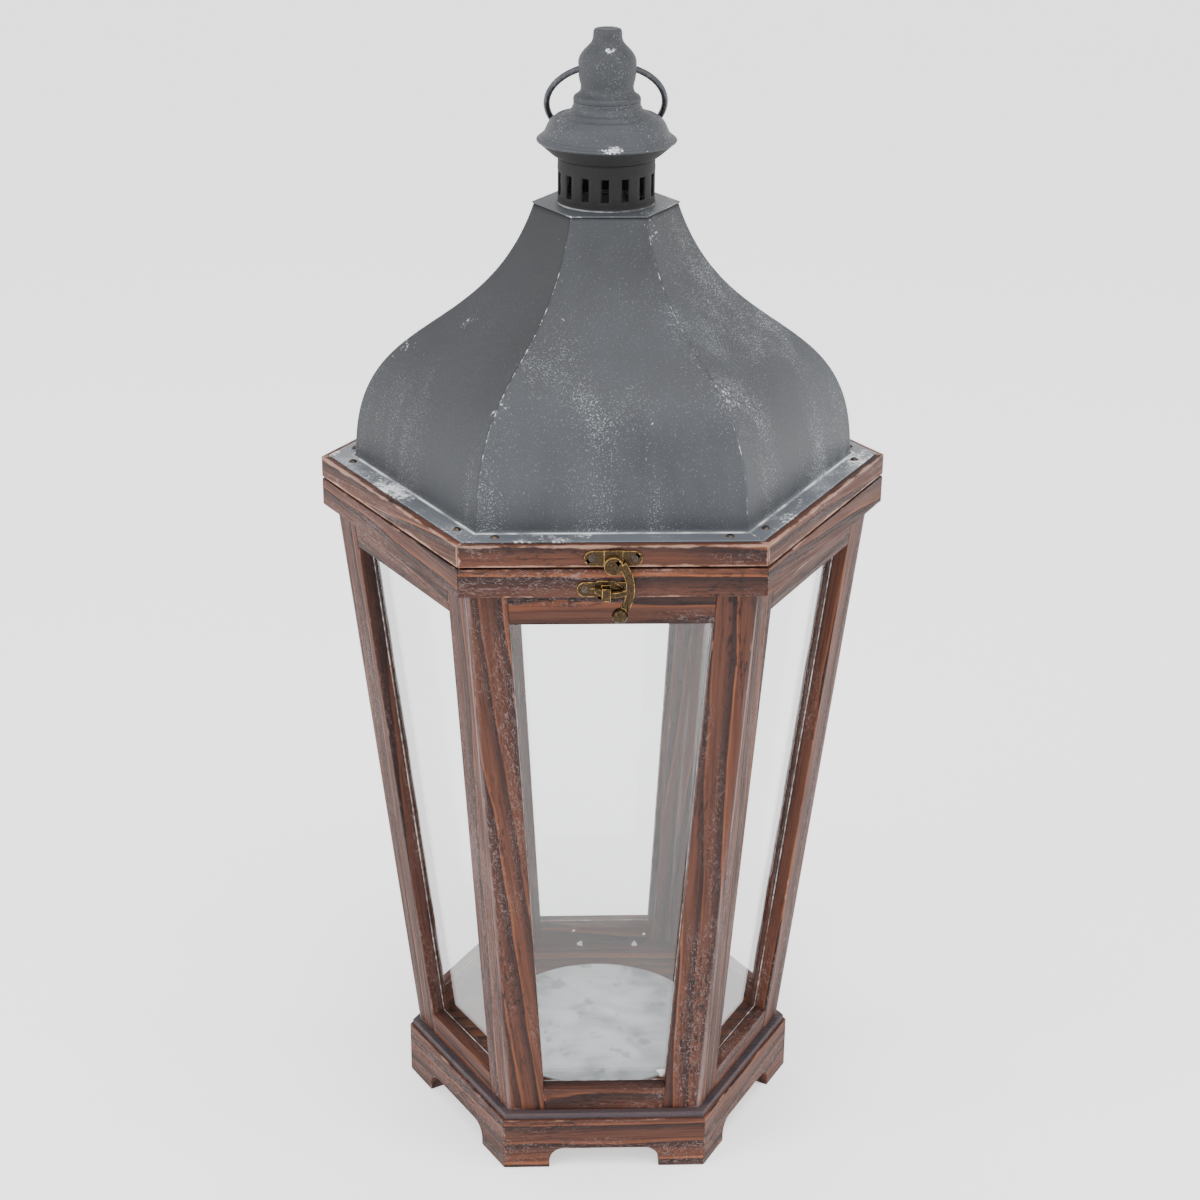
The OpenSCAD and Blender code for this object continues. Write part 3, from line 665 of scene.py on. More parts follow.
def galvanised(colours):
    """Zinc-coated sheet: clouds, bright spangles and grey spots."""
    material, t, shader = new_material("Galvanised Sheet")
    spot = t.place()
    cells = t.node("ShaderNodeTexVoronoi", {"Vector": spot, "Scale": 55.0, "Randomness": 1.0,
                                            "Smoothness": 0.6}, feature="SMOOTH_F1")
    cloud = t.noise(t.stretch(spot, (1, 1.4, 1)), 38.0, 4.0, 0.6, 0.6)
    spangle = t.ramp(cells.outputs["Distance"], 0.15, 0.7, 0.0, 0.5)
    body = t.mix(t.ramp(cloud, 0.36, 0.62), colours.zinc_shade, colours.zinc)
    body = t.mix(spangle, body, colours.zinc_shine)
    dots = t.use(GROUPS["patches"], {"Vector": spot, "Scale": 60.0, "Grit": 90.0, "Level": 0.6,
                                     "Softness": 0.08})["Mask"]
    body = t.mix(t.times(dots, 0.5), body, colours.zinc_spot)
    shader.inputs["Metallic"].default_value = 0.45
    finish(t, shader, body, t.ramp(cloud, 0.3, 0.7, 0.5, 0.36), cloud, 0.6 * MM, 0.35)
    return material


def clear_glass():
    """Glass with a faint film and dust, which lets light through to what is behind it."""
    material, t, shader = new_material("Clear Glass")
    spot = t.place()
    clean, filmed, dusty = (0.97, 0.98, 0.98, 1), (0.9, 0.91, 0.91, 1), (1, 1, 1, 1)
    dust = t.use(GROUPS["specks"], {"Vector": spot, "Scale": 420.0, "Cover": 0.12})["Mask"]
    film = t.noise(spot, 14.0, 3.0, 0.6)
    finish(t, shader, t.mix(dust, t.mix(film, clean, filmed), dusty), 0.0)
    shader.inputs["Transmission Weight"].default_value = 1.0
    shader.inputs["IOR"].default_value = 1.45
    through = t.node("ShaderNodeBsdfTransparent")
    rays = t.node("ShaderNodeLightPath").outputs
    mixed = t.node("ShaderNodeMixShader", {0: t.most(rays["Is Shadow Ray"], rays["Is Diffuse Ray"]),
                                           1: shader.outputs[0], 2: through.outputs[0]})
    end = material.node_tree.nodes["Material Output"]
    t.feed(end.inputs["Surface"], mixed.outputs[0])
    return material


def antique_brass(colours):
    """Brass under a dark patina, bright where its edges are rubbed."""
    material, t, shader = new_material("Antique Brass")
    spot = t.place()
    bright = t.use(GROUPS["edge"], {"Edge": t.attribute("edge")["Fac"], "Vector": spot,
                                    "Scale": 350.0, "Reach": 0.5})["Mask"]
    film = t.noise(spot, 1500.0, 2.0, 0.5)
    body = t.mix(t.ramp(film, 0.4, 0.75, 0.0, 0.12), colours.patina, colours.brass)
    body = t.mix(t.times(bright, 0.9), body, colours.brass)
    shader.inputs["Metallic"].default_value = 0.9
    finish(t, shader, body, t.ramp(film, 0.3, 0.7, 0.26, 0.45), film, 0.1 * MM, 0.4)
    return material


def dark_metal(name, paint, rubbed, metallic, roughness):
    """A dark finish with rubbed spots, for the wire and the screws."""
    material, t, shader = new_material(name)
    film = t.noise(t.place(), 420.0, 3.0, 0.6)
    body = t.mix(t.ramp(film, 0.5, 0.72, 0.0, 0.55), paint, rubbed)
    shader.inputs["Metallic"].default_value = metallic
    rough = t.ramp(film, 0.3, 0.7, roughness, roughness + 0.15)
    finish(t, shader, body, rough, film, 0.1 * MM, 0.4)
    return material


def dried_glue(name, low, high):
    """Glue that has dried with a soft sheen, mottled between two tones."""
    material, t, shader = new_material(name)
    film = t.noise(t.place(), 300.0, 2.0)
    finish(t, shader, t.mix(t.ramp(film, 0.35, 0.65), low, high), t.ramp(film, 0.3, 0.7, 0.35, 0.5))
    return material


def pale_floor(colours):
    """The plain floor, which glows a little so that it stays pale and even."""
    material, t, shader = new_material("Pale Floor")
    shade = tuple(0.985 * c for c in colours.floor[:3]) + (1,)
    body = t.mix(t.noise(t.place(), 3.0, 2.0), shade, colours.floor)
    finish(t, shader, body, 0.9)
    t.feed(shader.inputs["Emission Color"], body)
    shader.inputs["Emission Strength"].default_value = 0.9
    return material


# ---- Boards ----

# whitewash left on the boards of each side, and painted light: sides lit from left and right are paler
WASH_AND_LIGHT = (0.1, 0.32, 0.4, 0.35, 0.45, 0.6)


def board_attributes(mesh, seed, tone=0.0, worn=0.5, corner_side=0):
    """Adds the grain coordinates and the look of each board in a mesh of one or more loose boards.

    A board's grain runs along its longest direction, turned by a small slant in its face. Its grain
    coordinates are the distances along, across and into it, moved by a random amount."""
    points = coordinates(mesh)
    island = loose_islands(mesh)
    grain = np.zeros((len(points), 3))
    look = np.zeros((len(points), 3))
    for number in range(island.max() + 1):
        chosen = island == number
        own = points[chosen]
        middle = own.mean(axis=0)
        random = np.random.default_rng(seed * 100 + number)
        lengthways = np.linalg.svd(own - middle, full_matrices=False)[2][0]
        side = int(round(math.atan2(middle[0], -middle[1]) / TURN)) % 6
        out = side_axes(side + 1)[1]
        out = out - lengthways * (out @ lengthways)
        out /= np.linalg.norm(out)
        slant = random.uniform(-0.1, 0.1)
        turned = lengthways * math.cos(slant) + np.cross(out, lengthways) * math.sin(slant)
        axes = np.stack([turned, np.cross(out, turned), out])
        shift = random.uniform([-1.0, -0.03, -0.02], [1.0, 0.03, 0.01])
        grain[chosen] = (own - middle) @ axes.T + shift
        # each board's tone, its whitewash with its side's painted light, and its edge wear
        look[chosen] = [tone + random.uniform(-0.25, 0.25),
                        WASH_AND_LIGHT[side] * random.uniform(0.75, 1.25), worn]
    point_layer(mesh, "grain", grain)
    point_layer(mesh, "board", look)
    if corner_side:
        # a point is on a corner of the hexagon where its place along its side meets the next side
        along, out = side_axes(corner_side)[:2]
        point_layer(mesh, "corner", np.abs(points @ along) > (points @ out) * TAN30 - 1.0 * MM)


def loose_islands(mesh):
    """The number of the loose part that each vertex belongs to: every vertex takes the lowest number
    among those that it is joined to, until nothing changes."""
    pairs = np.empty(len(mesh.edges) * 2, np.int32)
    mesh.edges.foreach_get("vertices", pairs)
    pairs = pairs.reshape(-1, 2)
    label = np.arange(len(mesh.vertices))
    while True:
        lowest = np.minimum(label[pairs[:, 0]], label[pairs[:, 1]])
        new = label.copy()
        np.minimum.at(new, pairs[:, 0], lowest)
        np.minimum.at(new, pairs[:, 1], lowest)
        new = new[new]
        if (new == label).all():
            return np.unique(label, return_inverse=True)[1]
        label = new


BOX_FACES = ((3, 2, 1, 0), (4, 5, 6, 7), (0, 1, 5, 4), (1, 2, 6, 5), (2, 3, 7, 6), (3, 0, 4, 7))


def mitred_boards(outer, width, low, high, joint):
    """Six boards of a hexagonal frame as one working mesh: each is a prism whose outline is a
    trapezium between two distances from the axis, cut at 60 degrees at both ends."""
    work = bmesh.new()
    inner = outer - width
    for side in SIDES:
        along, out, up = side_axes(side)
        far, near = outer * TAN30 - joint, inner * TAN30 - joint
        ends = np.array([[-far, outer], [far, outer], [near, inner], [-near, inner]])
        flat = ends[:, :1] * along + ends[:, 1:] * out
        corners = [work.verts.new(p + up * z) for z in (low, high) for p in flat]
        for face in BOX_FACES:
            work.faces.new([corners[k] for k in face])
    bmesh.ops.recalc_face_normals(work, faces=work.faces)
    return work


class LANTERN_OT_boards(bpy.types.Operator):
    """Build the boards of the plinth, floor, glazed sides, neck and lid"""
    bl_idname = "lantern.boards"
    bl_label = "Boards"

    def execute(self, context):
        look = context.scene.lantern_wood
        for side in SIDES:
            for kind, tone, worn in (("plinth_board", -0.05, 0.4), ("bottom_rail", -0.1, 0.15),
                                     ("top_rail", 0.05, 0.15)):
                self.board(f"{kind}_{side}", look, side * 10 + len(kind), tone, worn)
            for end in ("left", "right"):
                self.board(f"stile_{side}_{end}", look, side * 20 + len(end), 0.0, 0.25, side)
        self.floor_board()
        self.hexagon("neck_frame", "base", look, 41, 0.35)
        self.hexagon("lid_frame", "lid", look, 52, 0.85)
        return {"FINISHED"}

    def board(self, node, look, seed, tone, worn, corner_side=0):
        mesh = soften(copy_of(node), look.bevel, look.fade, node + "_wood")
        board_attributes(mesh, seed, tone, worn, corner_side)
        place(node + "_wood", mesh, MATERIALS["wood"], "base", "stained_wood", [node])

    def hexagon(self, node, body, look, seed, worn):
        """A frame of six mitred boards."""
        width, joint, tone = 25 * MM, 0.1 * MM, -0.12
        low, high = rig.box(node)
        work = mitred_boards(high.y, width, low.z, high.z, joint)
        mesh = soften(work, look.bevel, look.fade, node + "_boards")
        board_attributes(mesh, seed, tone, worn)
        place(node + "_boards", mesh, MATERIALS["wood"], body, "stained_wood", [node])

    def floor_board(self):
        """A line of [distance out, height] carried round a hexagon: over the floor, down the lip, in
        under it, down the board's own edge and back to the middle."""
        overhang, lip_height, chamfer = 10.7 * MM, 3.4 * MM, 0.5 * MM
        low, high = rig.box("floor_board")
        lip, lip_low = high.y, high.z - lip_height
        board = lip - overhang
        line = np.array([[0, high.z], [lip - 22 * MM, high.z], [lip - 7 * MM, high.z],
                         [lip - 5.4 * MM, high.z], [lip - chamfer, high.z], [lip, high.z - chamfer],
                         [lip, lip_low], [board, lip_low], [board, low.z], [0, low.z]])
        # how grey each point of the line is, highest on the outer strip of the top and down the lip
        tint = np.array([0, 0, 0.3, 1, 1, 1, 1, 0, 0, 0])
        turn = TURN * np.arange(6)
        reach = line[:, :1] / COS30
        points = np.stack([reach * np.cos(turn), reach * np.sin(turn),
                           np.repeat(line[:, 1:], 6, axis=1)], -1)
        mesh = make_mesh("floor_board_wood", points, quads(len(line), 6, False, True),
                         {"ledge": np.repeat(tint, 6)}, smooth=False)
        spots = coordinates(mesh)
        point_layer(mesh, "grain", spots + [0.3, 0.02, 0])
        point_layer(mesh, "board", np.tile([0.5, 0.3, 0.1], (len(spots), 1)))
        place("floor_board_wood", mesh, MATERIALS["wood"], "base", "stained_wood", ["floor_board"])


# ---- Roof ----

# painted shade on the roof panel of each side at its foot: sides that get less light are darker
PANEL_SHADE = (0.06, 0.08, 0.12, 0.1, 0.15, 0.42)


def roof_profile(look, flange, foot, top, low, high):
    """The roof's outer line as [distance out, height]: the flange, a round fold, then a cubic curve
    from its upright foot to its sloping top. A point at t on the curve is the cubic mean of four
    points, whose inner two lie straight above the foot and down the top slope."""
    hem, fold = 0.1 * MM, look.fillet
    base = low + look.sheet
    start, end, rise = np.array([foot, base]), np.array([top, high]), high - low
    slope = np.array([math.cos(look.top_slope) * COS30, -math.sin(look.top_slope)])
    t = np.linspace(0, 1, 61)[:, None]
    curve = ((1 - t) ** 3 * start + 3 * t * (1 - t) ** 2 * (start + [0, look.swell * rise])
             + 3 * t ** 2 * (1 - t) * (end + look.sweep * rise * slope) + t ** 3 * end)
    curve = curve[curve[:, 1] > base + fold * 1.02]
    turn = np.radians(np.linspace(0, 90, 6))[:, None]
    centre = np.array([foot + fold, base + fold])
    bend = centre + fold * np.hstack([-np.sin(turn), -np.cos(turn)])
    flat = np.linspace(flange, foot + fold, 10)[:-1] - hem
    edge = [[flange, low + hem / 2], [flange, base - hem]]
    return np.concatenate([edge, np.stack([flat, np.full(9, base)], axis=1), bend, curve])


class LANTERN_OT_roof(bpy.types.Operator):
    """Build the six sheet-metal roof panels with their flanges, and the top plate"""
    bl_idname = "lantern.roof"
    bl_label = "Roof"

    def execute(self, context):
        look = context.scene.lantern_metal
        flange_width, lap = 12 * MM, 0.6 * MM
        low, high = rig.box("roof_panel_1")
        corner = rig.box("roof_top_plate")[1].x
        foot = -low.y - flange_width
        line = roof_profile(look, -low.y, foot, (corner - lap) * COS30, low.z, high.z)
        for side in SIDES:
            self.panel(look, side, line, foot, low.z)
        self.top_plate(corner)
        return {"FINISHED"}

    def panel(self, look, side, line, foot, base):
        """The roof's line carried along its side. Columns of points lie close together near a seam,
        and are spread evenly between. The face is a little uneven, by a product of two sines."""
        along, out, up = side_axes(side)
        distance, height = line[:, 0:1], line[:, 1:2]
        half = distance * TAN30 - 0.05 * MM
        rim = np.array([0, 0.5, 1.2, 2.2, 3.6, 5.5, 8]) * MM
        inner = (half - rim[-1] - 0.5 * MM) * np.linspace(-1, 1, 25)[1:-1]
        across = np.hstack([rim - half, inner, half - rim[::-1]])
        gap = half - np.abs(across)
        above = height - base
        # the last millimetre before a seam bends inwards, so neighbours meet in a soft fold
        dip = 0.35 * MM * closeness(gap, 1.2 * MM) ** 2
        wave = 0.12 * MM * np.sin(across / (19 * MM) + side) * np.sin(height / (31 * MM) + 2 * side)
        reach = distance - (dip + np.abs(wave)) * np.clip(above / (10 * MM), 0, 1)
        points = across[..., None] * along + reach[..., None] * out + height[..., None] * up

        flat = distance > foot + 1 * MM
        seam = closeness(gap, 1.6 * MM)
        fold = closeness(np.abs(distance - foot - 1.5 * MM), 5 * MM) * closeness(above, 5 * MM)
        smear_and_highlight = np.where(flat, 0.8, 0.45 * closeness(gap, 28 * MM) ** 2)
        # each side's own painted shade, from how much light falls on it, plus a darker tone towards the top
        dark_tone_and_shade = np.clip(above / (140 * MM), 0, 1) ** 1.5 * 0.42 + PANEL_SHADE[side - 1]
        # the flanges take painted light, a value below 0, in place of painted shade
        dark_tone_and_shade = np.broadcast_to(np.where(flat, -0.4, dark_tone_and_shade), across.shape)
        mesh = make_mesh(f"roof_panel_{side}_sheet", points, quads(*across.shape),
                         {"wear": wear_values(seam, fold, smear_and_highlight), "dark_tone_and_shade": dark_tone_and_shade.ravel()},
                         turn_out=False)
        place_sheet(f"roof_panel_{side}_sheet", mesh, f"roof_panel_{side}", look.sheet)

    def top_plate(self, corner):
        mesh = soften(copy_of("roof_top_plate"), 0.2 * MM, 1.5 * MM, "roof_top_plate_sheet")
        worn = closeness(corner - np.linalg.norm(coordinates(mesh)[:, :2], axis=1), 5 * MM)
        point_layer(mesh, "wear", wear_values(worn * 0.8, 0, 0.3))
        place("roof_top_plate_sheet", mesh, MATERIALS["charcoal"], "lid", "charcoal_metal",
              ["roof_top_plate"])


# ---- Chimney, knob and ring ----

def smooth_line(points, steps=6):
    """A smooth line through points: each stretch is the cubic that leaves and meets its ends in the
    direction between their neighbours (a Catmull-Rom curve)."""
    points = np.asarray(points, float)
    padded = np.concatenate([[2 * points[0] - points[1]], points, [2 * points[-1] - points[-2]]])
    a, b, c, d = padded[:-3], padded[1:-2], padded[2:-1], padded[3:]
    t = np.linspace(0, 1, steps, endpoint=False)[None, :, None]
    a, b, c, d = (x[:, None, :] for x in (a, b, c, d))
    line = 0.5 * (2 * b + (c - a) * t + (2 * a - 5 * b + 4 * c - d) * t ** 2
                  + (3 * b - a - 3 * c + d) * t ** 3)
    return np.concatenate([line.reshape(-1, points.shape[1]), points[-1:]])


def revolved(line, around=96, wobble=0.0):
    """A line of [radius, height] carried round the axis; wobble makes it slightly out of round."""
    angle = np.linspace(0, 2 * math.pi, around, endpoint=False)
    radius = line[:, 0:1] * (1 - wobble * (0.5 + 0.5 * np.sin(2 * angle + 0.7) * np.sin(3 * angle)))
    height = np.broadcast_to(line[:, 1:2], radius.shape)
    return np.stack([radius * np.cos(angle), radius * np.sin(angle), height], axis=-1)


def painted_highlight_patch(points, above, tall, wide):
    """How strong a painted highlight at the front of a round piece is: it falls off as a bell curve
    over its height and over the angle, in degrees, from a little right of the front."""
    turn = np.degrees(np.arctan2(points[..., 1], points[..., 0])) + 85
    return 1.1 * np.exp(-(above[:, None] / tall) ** 2 - (turn / wide) ** 2)


# lines of [distance out, height] in millimetres: the first from the collar's wall, the next two from
# the cap's brim, and the last from the knob's foot
CAP_FOOT = ((0.3, 0.1), (3.4, 2.4), (6.6, 5.2), (9.3, 7.5))
CAP_LIP = ((-0.25, 8.05), (0, 8.6), (-0.35, 9.15), (-1.5, 9.7))
CAP_DOME = ((-2.7, 11.4), (-4.3, 13.7), (-5.9, 16.6), (-7.1, 18.7), (-8.5, 20.0), (-10.6, 20.7),
            (-12.8, 21.2), (-14.8, 22.1), (-16.6, 23.5), (-17.9, 24.9), (-18.55, 25.6),
            (-18.6, 26.6), (-18.6, 27.9))
KNOB_LINE = ((0, 0.05), (0, 0.7), (-0.1, 1.5), (-0.8, 2.6), (-2.2, 3.5), (-3.4, 5.0), (-3.7, 7),
             (-3.5, 8.4), (-2.9, 11), (-2.5, 14.5), (-2.4, 18.6), (-2.75, 20.8), (-3.7, 22.8),
             (-5.2, 24.8), (-7.1, 26.7), (-8.7, 28.5), (-9.5, 30.3), (-9.75, 32.2), (-9.85, 33.8),
             (-10.3, 34.9), (-11.4, 35.4))


def line_from(start, points):
    """A line given in millimetres, moved out to start at a distance in metres."""
    return np.array(points) * MM + [start, 0]


class LANTERN_OT_chimney(bpy.types.Operator):
    """Build the slotted collar, the chimney cap and the knob"""
    bl_idname = "lantern.chimney"
    bl_label = "Chimney and knob"

    def execute(self, context):
        self.collar(context.scene.lantern_metal)
        self.cap()
        self.knob()
        return {"FINISHED"}

    def collar(self, look):
        """A cylinder whose grid lines follow the edges of its slots, where cells are left out. Its
        foot and the line above the slots flare a little."""
        low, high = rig.box("vent_collar")
        radius, inset = high.x, 0.6 * MM
        slots, slot_width, slot_low, slot_high, first = 15, 4 * MM, 4.5, 16.1, math.radians(2.5)
        half = math.asin(slot_width / 2 / radius)
        pitch = 2 * math.pi / slots
        beside = (half + pitch / 2) / 2
        stops = np.array([-half, -half / 2, 0, half / 2, half, beside, pitch / 2, pitch - beside])
        angle = (np.arange(slots)[:, None] * pitch + first + stops).ravel()
        rise = np.array([0, 0.6, 1.2, 2, 3.2, slot_low, 5.2, 8, 10.3, 13, 15.4, slot_high, 17, 18.5,
                         20, 21.6, 23])
        flare = np.interp(rise, [0, 0.6, 1.2, 2, slot_high, 17, 18.5, 20],
                          [0.6, 0.35, 0.1, 0, 0, 0.15, 0.15, 0]) * MM
        out = (radius - inset + flare)[:, None]
        rows, columns = len(rise), len(angle)
        points = np.stack([out * np.cos(angle), out * np.sin(angle),
                           np.repeat((low.z + rise * MM)[:, None], columns, axis=1)], axis=-1)
        beside_slot = (rise[:-1] >= slot_low) & (rise[:-1] < slot_high)
        in_slot = np.tile(stops < half, slots)
        above = np.repeat(closeness(rise, 4), columns)
        keep = ~(beside_slot[:, None] & in_slot)
        # the whole collar takes full painted shadow, for the shade that the cap's brim casts on it
        mesh = make_mesh("vent_collar_sheet", points,
                         quads(rows, columns, close_columns=True, keep=keep),
                         {"wear": wear_values(0, above * 0.8, 0), "dark_tone_and_shade": np.ones(rows * columns)},
                         turn_out=False)
        place_sheet("vent_collar_sheet", mesh, "vent_collar", look.sheet)

    def cap(self):
        """The cap's closed section: up the outside from the collar, over the brim, back inside."""
        low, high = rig.box("chimney_cap")
        brim, collar = high.x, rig.box("vent_collar")[1].x
        outside = smooth_line(np.concatenate([line_from(collar, CAP_FOOT), line_from(brim, CAP_LIP),
                                              line_from(brim, CAP_DOME)]), 5)
        inside = np.concatenate([line_from(0, ((0, 28), (0, 26), (15, 25))),
                                 line_from(brim, ((-9.5, 18), (-3, 9.2))),
                                 line_from(collar, ((2.5, 3.6), (-3, 1)))])
        line = np.concatenate([line_from(collar, [(-3, 0.1)]), outside, inside])
        # the spinning tool leaves shallow rings: a wave along the dome, taken off its height
        ring_depth, ring_pitch = 0.35 * MM, 4.6 * MM
        ripple = ring_depth * (1 - np.cos(2 * math.pi * (line[:, 0] - collar) / ring_pitch))
        on_dome = (line[:, 1] > 11 * MM) & (line[:, 1] < 25 * MM) & (line[:, 0] > 17.5 * MM)
        line[:, 1] = np.minimum(line[:, 1] - ripple * on_dome, high.z - low.z) + low.z
        line[:, 0] = np.minimum(line[:, 0], brim)
        points = revolved(line, 96, 0.004)
        rows, columns = points.shape[:2]

        height = line[:, 1] - low.z
        lip = closeness(np.abs(height - 8.6 * MM), 1.6 * MM) * (line[:, 0] > brim - 2.5 * MM) * 0.7
        # a painted highlight at the front of the brim, added to the smear wear
        rubbed = painted_highlight_patch(points, height - 10.0 * MM, 2.6 * MM, 13)
        rubbed = rubbed * (line[:, 0] > brim - 6 * MM)[:, None]
        # painted shadow on the cap's foot under its brim, and a darker tone over the whole cap
        dark_tone_and_shade = np.repeat(0.75 * (height < 7.6 * MM) + 0.3, columns)
        mesh = make_mesh("chimney_cap_sheet", points, quads(rows, columns, True, True),
                         {"wear": wear_values(lip[:, None], 0, 0.3 + rubbed), "dark_tone_and_shade": dark_tone_and_shade})
        place("chimney_cap_sheet", mesh, MATERIALS["charcoal"], "lid", "charcoal_metal",
              ["chimney_cap"])

    def knob(self):
        """The knob's wall, from its foot to its button, with a round hole at each side. Near a
        hole the grid is pushed out so that one ring of it lies on the hole's rim, and the cells
        inside are left out."""
        hole, hole_z, beside = 2.8 * MM, 591.3 * MM, 6 * MM
        low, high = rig.box("finial_knob")
        crown = [[high.x - 13.5 * MM, 35.1 * MM], [high.x - 15.5 * MM, 34.9 * MM], [0, 34.85 * MM]]
        line = np.concatenate([smooth_line(line_from(high.x, KNOB_LINE), 6), crown]) + [0, low.z]
        points = revolved(line, 160)
        rows, columns = points.shape[:2]
        x, y, z = points[..., 0], points[..., 1], points[..., 2]
        away, angle = np.hypot(y, z - hole_z), np.arctan2(z - hole_z, y)
        near = (np.abs(x) > beside) & (away < 2.2 * hole)
        inside = near & (away < hole)
        inside = inside & np.roll(inside, -1, axis=1)
        cut = inside[:-1] & inside[1:]
        pushed = np.maximum(away, hole)
        y = np.where(near, pushed * np.cos(angle), y)
        z = np.where(near, pushed * np.sin(angle) + hole_z, z)
        radius = np.interp(z, line[:-3, 1], line[:-3, 0])
        on_wall = np.sign(x) * np.sqrt(np.maximum(radius ** 2 - y ** 2, 0))
        points = np.stack([np.where(near, on_wall, x), y, z], axis=-1)

        height = line[:, 1] - low.z
        bead = np.maximum(closeness(np.abs(height - 30 * MM), 2.5 * MM) * 0.6,
                          closeness(np.abs(height - 35 * MM), 1.2 * MM) * 0.7)
        # a painted highlight at the front of the knob's shoulder, added to the smear wear
        rubbed = painted_highlight_patch(points, height - 25.5 * MM, 2.4 * MM, 22)
        # the knob takes a darker tone all over
        mesh = make_mesh("finial_knob_shell", points, quads(rows, columns, False, True, keep=~cut),
                         {"wear": wear_values(bead[:, None], 0, 0.3 + rubbed),
                          "dark_tone_and_shade": np.full(rows * columns, 0.42)}, turn_out=False)
        place_sheet("finial_knob_shell", mesh, "finial_knob", 1.2 * MM)


class LANTERN_OT_ring(bpy.types.Operator):
    """Build the wire ring that hangs through the knob"""
    bl_idname = "lantern.ring"
    bl_label = "Carrying ring"

    def execute(self, context):
        """A circle of wire: each point is on the ring's circle, plus the wire's radius in the plane of
        the circle's radius and its axis."""
        wire = 3.3 * MM / 2
        low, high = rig.box("carry_ring")
        radius = (high.x - low.x) / 2 - wire
        centre = np.array((low + high) / 2)
        tilt = math.atan2((high.z - low.z) / 2 - wire, (high.y - low.y) / 2 - wire)
        turn, section = np.meshgrid(np.linspace(0, 2 * math.pi, 120, endpoint=False),
                                    np.linspace(0, 2 * math.pi, 20, endpoint=False), indexing="ij")
        reach = radius + wire * np.cos(section)
        x, y, z = reach * np.cos(turn), reach * np.sin(turn), wire * np.sin(section)
        points = np.stack([x, y * math.cos(tilt) + z * math.sin(tilt),
                           -y * math.sin(tilt) + z * math.cos(tilt)], axis=-1) + centre
        mesh = make_mesh("carry_ring_wire", points, quads(120, 20, True, True))
        place("carry_ring_wire", mesh, MATERIALS["wire"], "ring", "dark_steel_wire", ["carry_ring"])
        return {"FINISHED"}


# ---- Plate, latch, hinges, screws and glass ----

class LANTERN_OT_plate(bpy.types.Operator):
    """Build the galvanised candle plate"""
    bl_idname = "lantern.plate"
    bl_label = "Candle plate"

    def execute(self, context):
        """A disc whose rim turns down through a rounded edge, carried round the axis."""
        edge, wall, dish = 1.6 * MM, 0.8 * MM, 0.25 * MM
        low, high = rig.box("candle_plate")
        radius, rise = (high.x - low.x) / 2, high.z - low.z
        bend = np.radians(np.linspace(0, 90, 8))
        rim = np.stack([radius - edge * (1 - np.cos(bend)), rise - edge * (1 - np.sin(bend))],
                       axis=1)
        flat = np.linspace(radius - edge, 0, 30)[1:]
        top = np.stack([flat, rise - dish * np.sin(flat / radius * math.pi) ** 2], axis=1)
        under = np.array([[0, rise - wall - 0.3 * MM], [radius - edge, rise - wall - 0.1 * MM],
                          [radius - wall, rise - edge], [radius - wall, 0], [radius, 0]])
        line = np.concatenate([[[radius, 0.3 * MM]], rim, top, under]) + [0, low.z]
        points = revolved(line, 128) + [0, (low.y + high.y) / 2, 0]
        mesh = make_mesh("candle_plate_sheet", points, quads(*points.shape[:2], True, True))
        place("candle_plate_sheet", mesh, MATERIALS["zinc"], "base", "galvanised_sheet",
              ["candle_plate"])
        return {"FINISHED"}


class LANTERN_OT_latch(bpy.types.Operator):
    """Give the latch, catch and hinges rounded edges and an antique brass finish"""
    bl_idname = "lantern.latch"
    bl_label = "Latch and hinges"

    def execute(self, context):
        reach, sharp = 0.6 * MM, 30
        for node, rounding in (("latch_plate", 0.25), ("latch_arm", 0.45), ("latch_rivet", 0.15),
                               ("catch_plate", 0.25), ("hinge_lid_leaves", 0.2),
                               ("hinge_body_leaves", 0.2), ("hinge_pins", 0.15)):
            mesh = soften(copy_of(node), rounding * MM, reach, node + "_brass", sharp)
            place(node + "_brass", mesh, MATERIALS["brass"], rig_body(node), "antique_brass", [node])
        return {"FINISHED"}


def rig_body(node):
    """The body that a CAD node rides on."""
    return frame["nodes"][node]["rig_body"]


class LANTERN_OT_screws(bpy.types.Operator):
    """Give the screws their smooth heads and bronzed finish"""
    bl_idname = "lantern.screws"
    bl_label = "Screws"

    def execute(self, context):
        smooth_below = math.radians(32)
        for node in ("lid_screws", "body_screws"):
            work = copy_of(node)
            for face in work.faces:
                face.smooth = True
            for edge in work.edges:
                edge.smooth = len(edge.link_faces) == 2 and edge.calc_face_angle(0) < smooth_below
            mesh = bpy.data.meshes.new(node + "_bronze")
            work.to_mesh(mesh)
            work.free()
            place(node + "_bronze", mesh, MATERIALS["screw"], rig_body(node), "bronzed_screw",
                  [node])
        return {"FINISHED"}


# each drop of glue: its side, its distances along and out, its height, and its size
GLUE_DROPS = ((1, 0.0325, 0.0815, 0.0525, 0.0026), (6, 0.0320, 0.0812, 0.0510, 0.0032),
              (4, 0.0090, 0.0800, 0.0362, 0.0017), (4, -0.0250, 0.0792, 0.0360, 0.0017),
              (4, -0.0310, 0.0812, 0.0420, 0.0008), (4, 0.0130, 0.0812, 0.0450, 0.0008))


